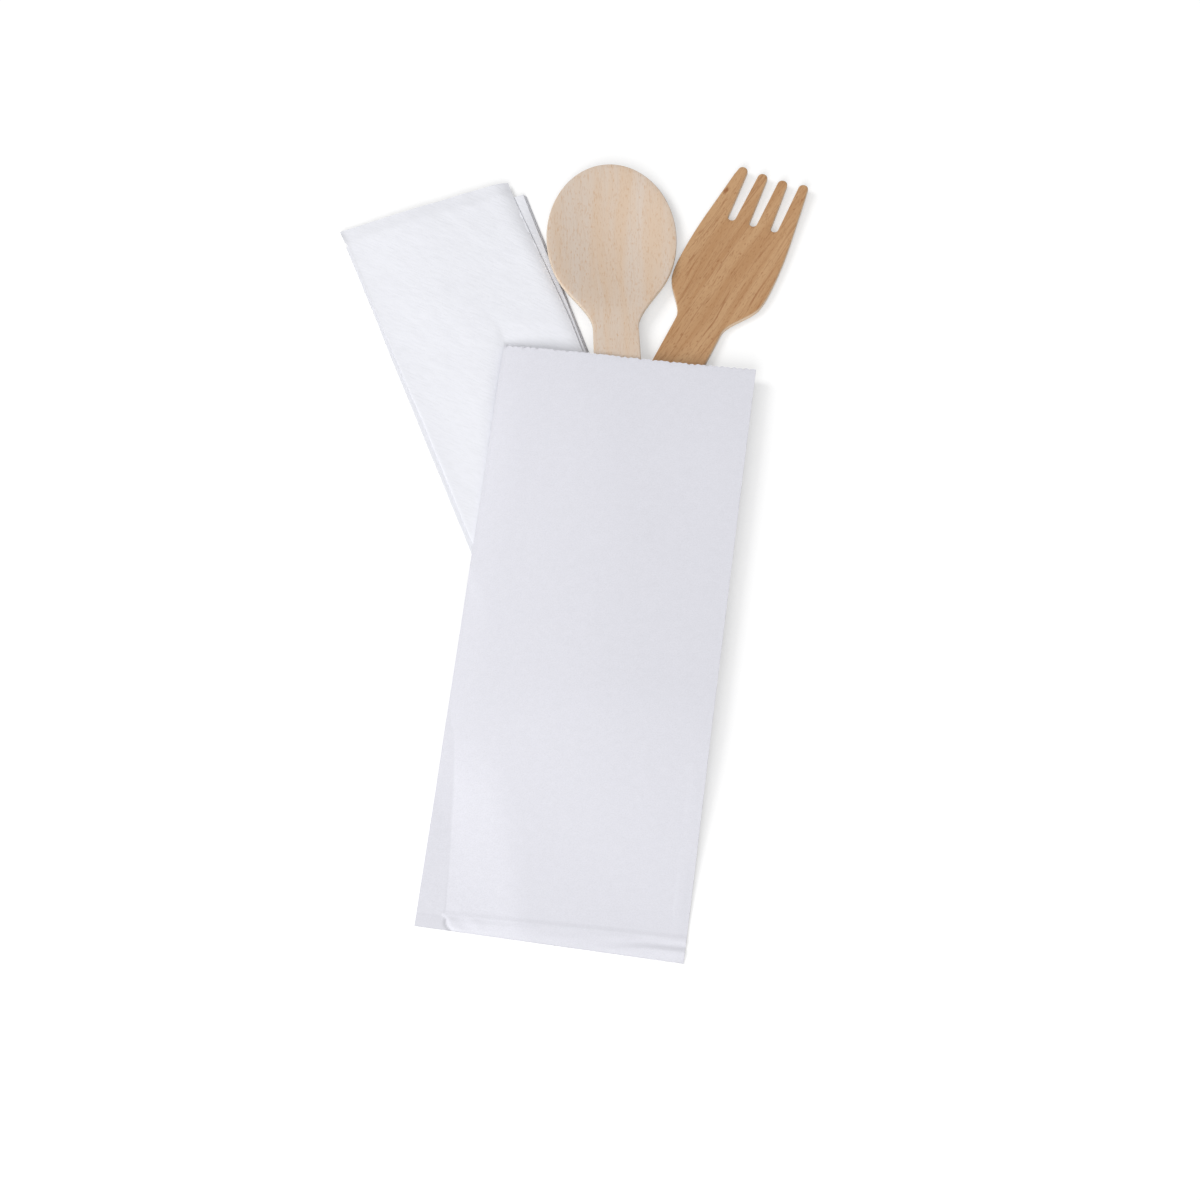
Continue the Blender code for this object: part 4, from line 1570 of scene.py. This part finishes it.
    def flap_edge(self, depth: float) -> float:
        """Finds the front layer's left edge, which leans to the right in the hem.

        Args:
            depth: distance from the mouth.

        Returns:
            The place across.
        """
        seam = -self.half(depth) + self.seam_width(depth)
        in_hem = self.past_hem(depth) / self.hem
        if in_hem <= 0:
            return seam
        share = self.corner_share * ease(3 * in_hem) + (1 - self.corner_share) * in_hem**4
        return seam + mix(*self.corner_lean, share)

    def ramp_width(self, depth: float) -> float:
        """Returns the width of the slope from the strip up to the pouch's body."""
        return mix(*self.seam_edge, self.seam_share(depth))

    def ridge(self, depth: float) -> float:
        """Works out the top of the pouch along its middle: over the spoon's handle, then down to the foot.

        Args:
            depth: distance from the mouth.

        Returns:
            The height above the table.
        """
        reach = self.spoon_out + max(0.0, depth)
        cover = WOOD + REST_GAP + CAD_PAPER + self.crown_slack
        if reach <= self.spoon.length:
            return self.spoon.level(max(reach, self.spoon.bowl_length)) + cover
        end = self.spoon.length - self.spoon_out
        hem = self.length - self.hem
        return mix(SPOON_REST + cover, self.foot_lift, ease((depth - end) / (hem - end)))

    def base(self, u: float, depth: float) -> float:
        """Returns the height at which the back wall lies: on the napkin or on the table."""
        return BACK_REST * self.napkin.below(*self.place.on_table(u, -depth))

    def front_top(self, u: float, depth: float) -> float:
        """Works out the front wall's outer face.

        Args:
            u: place across.
            depth: distance from the mouth.

        Returns:
            The height above the table.
        """
        ridge = self.ridge(depth)
        deep = clamp(depth / (self.spoon.length - self.spoon_out))
        left = ridge * mix(*self.left_share, deep)
        right = ridge * mix(*self.right_share, deep)
        half = self.half(depth)
        seam = -half + self.seam_width(depth)
        middle = mix(self.crown_at_mouth, self.crown_at_end, deep) * half
        if u < middle:
            share = clamp((u - seam) / (middle - seam))
            height = mix(left, ridge, math.sin(share * math.pi / 2))
        else:
            share = clamp((u - middle) / (half - middle))
            height = mix(ridge, right, share**self.crown_power)
        least = self.base(u, depth) + 2 * CAD_PAPER + self.crease_gap
        least_drop = mix(self.edge_drop_least, 1.0, ease(depth / self.edge_drop_ramp))
        drop = min(self.edge_drop * least_drop, max(0.0, left - least))
        beside = 1 - clamp((u + half) / self.edge_roll)
        height -= drop * (1 - self.seam_share(depth)) * beside**2
        flap = mix(left, least, ease(self.flap_drop * self.seam_share(depth) ** 2))
        short = 1 - clamp((u - seam) / self.ramp_width(depth))
        height -= (left - flap) * short**2
        in_hem = clamp(self.past_hem(depth) / self.hem)
        if in_hem > 0:
            height += self.hem_step * ease((u - self.flap_edge(depth)) / self.hem_ramp)
        height = max(height, least)
        return mix(height, self.base(u, depth) + 2 * self.paper, in_hem**2)

    def back_bottom(self, u: float, depth: float) -> float:
        """Works out the back wall's outer face, which rolls up to the creases at both sides.

        Args:
            u: place across.
            depth: distance from the mouth.

        Returns:
            The height above the table.
        """
        half = self.half(depth)
        base = self.base(u, depth)
        roll = clamp(1 - (half - abs(u)) / self.side_roll) ** 2
        crease = self.front_top(math.copysign(half, u), depth) - 2 * CAD_PAPER - self.crease_gap
        return mix(base, crease, roll) if crease > base else base

    def buckle(self, u: float, depth: float) -> float:
        """Works out how far the front wall stands off its smooth form.

        Args:
            u: place across.
            depth: distance from the mouth.

        Returns:
            The change of height.
        """
        from_side = (self.half(depth) - abs(u)) / self.buckle_side
        inner = ease(from_side) * ease(-self.past_hem(depth) / self.buckle_hem)
        inner *= ease((depth + self.buckle_mouth) / (2 * self.buckle_mouth))
        broad = self.buckle_broad * self.broad_pattern.at(u, depth * self.buckle_stretch)
        fine = self.buckle_fine * self.fine_pattern.at(u, depth)
        return inner * broad + clamp(inner + self.buckle_least) * fine

    def curled(self, u: float, depth: float) -> float:
        """Works out the relief of the front layer's corner, which curls up in the hem.

        Args:
            u: place across.
            depth: distance from the mouth.

        Returns:
            The change of height.
        """
        past_edge, past_hem = u - self.flap_edge(depth), self.past_hem(depth)
        along = ease((past_hem - self.curl_start) / self.curl_ramp)
        along *= ease((self.length - depth) / self.curl_end)
        rise = ease(past_edge / self.curl_round)
        fall = 1 - ease((past_edge - self.curl_round) / self.curl_width)
        places = zip((past_edge, past_hem), self.dimple_place, self.dimple_size)
        dimple = math.hypot(*((place - middle) / size for place, middle, size in places))
        return self.curl * along * rise * fall + self.dimple_share * self.curl * (1 - ease(dimple))

    def wrinkled(self, u: float, depth: float) -> float:
        """Works out the wrinkles that run along the hem, strongest at its right end.

        Args:
            u: place across.
            depth: distance from the mouth.

        Returns:
            The change of height.
        """
        in_hem = ease(self.past_hem(depth) / self.wrinkle_edge)
        in_hem *= ease((self.length - depth) / self.wrinkle_edge)
        worn = mix(*self.wrinkle_share, ease(u / self.half(depth)) ** 2)
        worn *= ease((u - self.flap_edge(depth)) / self.wrinkle_start)
        pattern = self.wrinkles.at(u * self.wrinkle_stretch, depth - self.foot_skew * u)
        return in_hem * worn * self.hem_wrinkle * pattern

    def imprint(self, u: float, depth: float) -> float:
        """Works out the step that the sheet's inner edge prints through the front wall at the right.

        Args:
            u: place across.
            depth: distance from the mouth.

        Returns:
            The change of height.
        """
        half = self.half(depth)
        printed = ease((depth - self.inner_top) / self.inner_top_ramp)
        printed *= ease((u - half + self.inner_edge) / self.inner_ramp)
        patchy = self.inner_range[0] + self.inner_range[1] * self.inner_pattern.at(u, depth)
        return self.inner_step * patchy * printed * ease((half - u) / self.inner_fade)

    def lit_corner(self, u: float, depth: float) -> float:
        """Tells where the lower left corner, which faces the light, is spared the painted shade, as a
        painted highlight.

        Args:
            u: place across.
            depth: distance from the mouth.

        Returns:
            1 in the painted highlight, 0 outside it.
        """
        across, along, offset = self.lit_corner_line
        inside = across * u + along * depth + offset
        in_corner = ease((depth - self.lit_corner_top) / self.lit_corner_ramp)
        return ease(inside / self.lit_corner_edge + 0.5) * in_corner

    def painted_shade(self, u: float, depth: float) -> float:
        """Works out the painted shade: over all but the lower left corner, on the glued strip and its
        edge, and under the curl.

        Args:
            u: place across.
            depth: distance from the mouth.

        Returns:
            0 for no painted shade, 1 for the darkest.
        """
        past_edge, past_hem = u - self.flap_edge(depth), self.past_hem(depth)
        strip = 1 - ease((past_edge + self.strip_start) / self.strip_ramp)
        seam_line = 1 - ease(abs(past_edge) / self.seam_line)
        lit_corner = self.lit_corner(u, depth)
        # Painted shade over the paper, sparing the lower left corner as a painted highlight
        shade_amount = self.body_shade * (1 - lit_corner)
        in_hem = ease(past_hem / self.hem_shade_ramp)
        # Painted shade on the glued strip, in the lit corner and in the hem
        shade_amount += strip * (self.strip_shade * lit_corner + self.hem_shade * in_hem)
        # Painted shade along the front layer's edge near the hem
        shade_amount += self.seam_shade * seam_line * self.seam_share(depth) ** 4
        # Painted shadow in the gap left of the curled corner
        width = mix(*self.gap_shadow_width, clamp(past_hem / self.hem))
        gap_shadow = 1 - ease(-past_edge / width)
        return shade_amount + strip * gap_shadow * ease((past_hem - self.gap_shadow_start) / self.gap_shadow_ramp)

    def mouth_depth(self, u: float) -> float:
        """Works out the saw-cut edge: a little askew, sagging in the middle, with fine teeth.

        Args:
            u: place across.

        Returns:
            The edge's depth.
        """
        half = self.mouth_width / 2
        phase = (u + half) / self.tooth_pitch
        nearest = round(phase)
        tooth = abs(phase - nearest) * 2
        depth = self.teeth[min(max(int(phase), 0), len(self.teeth) - 1)]
        sag = self.mouth_sag * (1 - (u / half) ** 2)
        return -self.mouth_skew * u + sag + depth * tooth

    def foot_depth(self, u: float) -> float:
        """Returns the depth of the foot's fold, which runs askew."""
        return self.length - self.foot_skew * u

    def row_columns(self, depth: float) -> list[float]:
        """Lists the places across the pouch for one row of points.

        Args:
            depth: the row's distance from the mouth.

        Returns:
            The places, from the left crease to the right one.
        """
        half = self.half(depth)
        seam = -half + self.seam_width(depth)
        inner = seam + self.ramp_width(depth)
        strip = [mix(-half, seam, i / self.strip_columns) for i in range(self.strip_columns)]
        rise = [mix(seam, inner, i / self.ramp_columns) for i in range(self.ramp_columns)]
        return strip + rise + [mix(inner, half, i / self.columns) for i in range(self.columns + 1)]

    def row_depths(self) -> list[float]:
        """Lists the rows' depths, closer together at both ends.

        Returns:
            The depths, from the hem's line to just inside the mouth.
        """
        hem = self.length - self.hem
        near = self.edge_band
        low = [mix(hem, hem - near, i / self.edge_rows) for i in range(self.edge_rows)]
        middle = [mix(hem - near, near / 4, i / self.rows) for i in range(self.rows)]
        return low + middle + [near / 4, near / 8]

    def wall(
        self,
        bm: bmesh.types.BMesh,
        height: Callable[[float, float], float],
        offset: float,
        narrow: float,
        with_hem: bool,
    ) -> list[list[bmesh.types.BMVert]]:
        """Makes rows of points of one face of one wall, from the foot to the mouth.

        Args:
            bm: the mesh that takes the points.
            height: the function of place and depth that gives the wall's outer height.
            offset: distance from the outer face, upwards.
            narrow: factor on the places across.
            with_hem: whether the rows of the folded foot are made.

        Returns:
            The rows of points.
        """
        hem = self.length - self.hem
        rows = []
        if with_hem:
            for i in range(self.edge_rows):
                share = 1 - i / self.edge_rows
                depth = mix(hem + self.hem_step, self.length, share)
                columns = self.row_columns(depth)
                skewed = [self.foot_depth(u) - self.length + depth for u in columns]
                rows.append([(u, mix(depth, low, share), depth) for u, low in zip(columns, skewed)])
            step = hem + self.hem_step
            rows.append([(u, step, step) for u in self.row_columns(hem)])
        rows += [[(u, depth, depth) for u in self.row_columns(depth)] for depth in self.row_depths()]
        rows.append([(u, self.mouth_depth(u), 0.0) for u in self.row_columns(0.0)])
        # Each point keeps its painted shade
        shade_amount = bm.verts.layers.float["painted_shade"]
        made = []
        for row in rows:
            made.append([])
            for u, at, depth in row:
                vert = bm.verts.new((u * narrow, -at, height(u, depth) + offset))
                vert[shade_amount] = self.painted_shade(u, depth)
                made[-1].append(vert)
        return made

    def build(self, fibres: bpy.types.NodeTree) -> bpy.types.Object:
        """Makes the pouch as one closed shell of paper.

        Args:
            fibres: the group of pressed fibres.

        Returns:
            The piece, which replaces its solid.
        """
        bm = bmesh.new()
        # The attribute that holds the painted shade
        bm.verts.layers.float.new("painted_shade")
        inset = 1 - self.crease_solid / (self.mouth_width / 2)

        def top(u: float, depth: float) -> float:
            """Returns the front wall's outer height with all its relief."""
            smooth = self.front_top(u, depth) + self.buckle(u, depth)
            return smooth + (self.curled(u, depth) + self.wrinkled(u, depth) + self.imprint(u, depth))

        def strip(first: list, second: list) -> None:
            """Joins two rows of points with faces."""
            for i in range(len(first) - 1):
                bm.faces.new((first[i], first[i + 1], second[i + 1], second[i]))

        front = self.wall(bm, top, 0.0, 1.0, True)
        back = self.wall(bm, self.back_bottom, 0.0, 1.0, True)
        front_inner = self.wall(bm, top, -self.paper, inset, False)
        back_inner = self.wall(bm, self.back_bottom, self.paper, inset, False)
        for rows in (front, back, front_inner, back_inner):
            for low, high in zip(rows, rows[1:]):
                strip(low, high)
        for upper, lower in ((front, back), (front_inner, back_inner)):
            strip(upper[0], lower[0])
            for side in (0, -1):
                strip([row[side] for row in upper], [row[side] for row in lower])
        strip(front[-1], front_inner[-1])
        strip(back[-1], back_inner[-1])
        for side in (0, -1):
            bm.faces.new((front[-1][side], back[-1][side], back_inner[-1][side], front_inner[-1][side]))
        bmesh.ops.recalc_face_normals(bm, faces=bm.faces)
        piece = piece_of("pouch_paper", bm)
        lay_down(piece, self.place, self.smooth_angle)
        piece.data.materials.append(self.finish.build(self.place, fibres))
        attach(piece, "root")
        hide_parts("pouch")
        return piece


# The studio


@dataclass(frozen=True)
class Lamp:
    """A square soft lamp that looks at the object."""

    name: str
    power: float
    size: float
    place: tuple[float, float, float]

    def build(self, target: Vector) -> bpy.types.Object:
        """Makes the lamp.

        Args:
            target: the point that it looks at.

        Returns:
            The lamp.
        """
        data = bpy.data.lights.new(self.name, "AREA")
        data.energy = self.power
        data.size = self.size
        lamp = placed(self.name, data)
        lamp.location = self.place
        lamp.rotation_euler = (target - Vector(self.place)).to_track_quat("-Z", "Y").to_euler()
        return lamp


@dataclass
class Studio:
    """A pale floor, soft light and the camera at the photograph's angle."""

    target: Vector
    distance: float = 1.870
    tilt: float = math.radians(32)
    focus_pixels: float = 7300.0
    sensor: float = 36.0
    floor_size: float = 6.0
    floor_grey: float = 0.62
    floor_glow: float = 0.42
    sky: float = 0.425
    far_clip: float = 10.0
    lamps: tuple[Lamp, ...] = (
        Lamp("left_lamp", 13.2, 0.8, (-1.10, 0.30, 1.35)),
        Lamp("front_lamp", 44.0, 1.4, (-0.45, -2.20, 1.70)),
    )

    def floor(self) -> bpy.types.Object:
        """Makes the floor, which looks white to the camera and still takes the object's shadow.

        Returns:
            The floor.
        """
        bpy.ops.object.select_all(action="DESELECT")
        bpy.ops.mesh.primitive_plane_add(size=self.floor_size, location=(0.0, 0.0, 0.0))
        floor = bpy.context.object
        floor.name = "studio_floor"
        material = bpy.data.materials.new("studio_floor")
        material.use_nodes = True
        tree = Tree(material.node_tree)
        shader = material.node_tree.nodes["Principled BSDF"]
        shader.inputs["Base Color"].default_value = (*[self.floor_grey] * 3, 1.0)
        shader.inputs["Roughness"].default_value = 1.0
        shader.inputs["Specular IOR Level"].default_value = 0.0
        shader.inputs["Emission Color"].default_value = WHITE
        glow = tree.math("MULTIPLY", tree.seen(), self.floor_glow)
        tree.feed(shader.inputs["Emission Strength"], glow)
        floor.data.materials.append(material)
        return floor

    def world(self) -> bpy.types.World:
        """Makes the even sky, which looks white to the camera.

        Returns:
            The world.
        """
        world = bpy.data.worlds.new("studio_sky")
        world.use_nodes = True
        tree = Tree(world.node_tree)
        background = world.node_tree.nodes["Background"]
        level = tree.math("ADD", self.sky, tree.math("MULTIPLY", tree.seen(), 1.0 - self.sky))
        tree.feed(background.inputs["Strength"], level)
        background.inputs["Color"].default_value = WHITE
        bpy.context.scene.world = world
        return world

    def camera(self) -> bpy.types.Object:
        """Makes the camera, which looks down at the photograph's angle.

        Returns:
            The camera.
        """
        data = bpy.data.cameras.new("camera")
        data.sensor_width = self.sensor
        data.lens = self.focus_pixels / PICTURE * self.sensor
        data.clip_end = self.far_clip
        camera = placed("camera", data)
        back = Vector((0.0, -math.sin(self.tilt), math.cos(self.tilt)))
        camera.location = self.target + back * self.distance
        camera.rotation_euler = (self.tilt, 0.0, 0.0)
        bpy.context.scene.camera = camera
        return camera

    def build(self) -> None:
        """Makes all of the studio and sets the plain view."""
        self.floor()
        for lamp in self.lamps:
            lamp.build(self.target)
        self.world()
        self.camera()
        bpy.context.scene.view_settings.view_transform = "Standard"


def mouth_place(mouth_width: float) -> Place:
    """Finds the middle of the pouch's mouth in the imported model.

    Args:
        mouth_width: width of the mouth.

    Returns:
        The pouch's plan frame.
    """
    _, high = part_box("pouch")
    half = mouth_width / 2
    x, y = high.x - half * math.cos(POUCH_TURN), high.y + half * math.sin(POUCH_TURN)
    return Place(x, y, POUCH_TURN)


def main() -> None:
    logging.basicConfig(level=logging.INFO, format="%(name)s: %(message)s")
    mouth = mouth_place(Pouch.mouth_width)
    middle = (mouth.x + PICTURE_MIDDLE[0], mouth.y + PICTURE_MIDDLE[1], 0.0)
    studio = Studio(target=Vector(middle))
    studio.build()

    fibres = fibre_group()
    wood = grain_group()
    spoon = Spoon(
        name="spoon_wood",
        node="spoon",
        place=mouth.beside(*SPOON_TIP),
        finish=WoodFinish(
            "pale_birch",
            (0.640, 0.538, 0.454),
            0.62,
            band_colour=(0.642, 0.490, 0.364),
            pore_colour=(0.54, 0.33, 0.18),
            cut_edge_and_highlight_colour=(0.80, 0.67, 0.53),
            grain=Grain.FAINT,
            pore_depth=0.45,
            fleck_depth=0.5,
        ),
        neck=53 * MM,
        neck_width=12.0 * MM,
    )
    fork = Fork(
        name="fork_wood",
        node="fork",
        place=mouth.beside(*FORK_TIP),
        finish=WoodFinish(
            "brown_birch",
            (0.522, 0.315, 0.163),
            0.60,
            band_colour=(0.437, 0.237, 0.109),
            pore_colour=(0.30, 0.13, 0.05),
            cut_edge_and_highlight_colour=(0.80, 0.62, 0.45),
            grain=Grain.STRONG,
            grain_turn=math.radians(-7),
            band_width=3.6 * MM,
            line_spacing=1.2 * MM,
            knot=(-10.1 * MM, -8.6 * MM),
        ),
        neck=51 * MM,
        neck_width=12.9 * MM,
    )
    napkin = Napkin(
        place=mouth.beside(*NAPKIN_CORNER),
        finish=TissueFinish("tissue", (0.813, 0.820, 0.866), 0.95),
        mouth=mouth,
        mouth_half=Pouch.mouth_width / 2,
        spoon=spoon,
    )
    pouch = Pouch(
        place=mouth,
        finish=PaperFinish("paper", (0.769, 0.769, 0.828), 0.85),
        spoon=spoon,
        napkin=napkin,
    )
    pieces = [spoon.build(wood), fork.build(wood), napkin.build(fibres), pouch.build(fibres)]
    for piece in pieces:
        log.info("%s: %d faces", piece.name, len(piece.data.polygons))


if __name__ == "__main__":
    main()
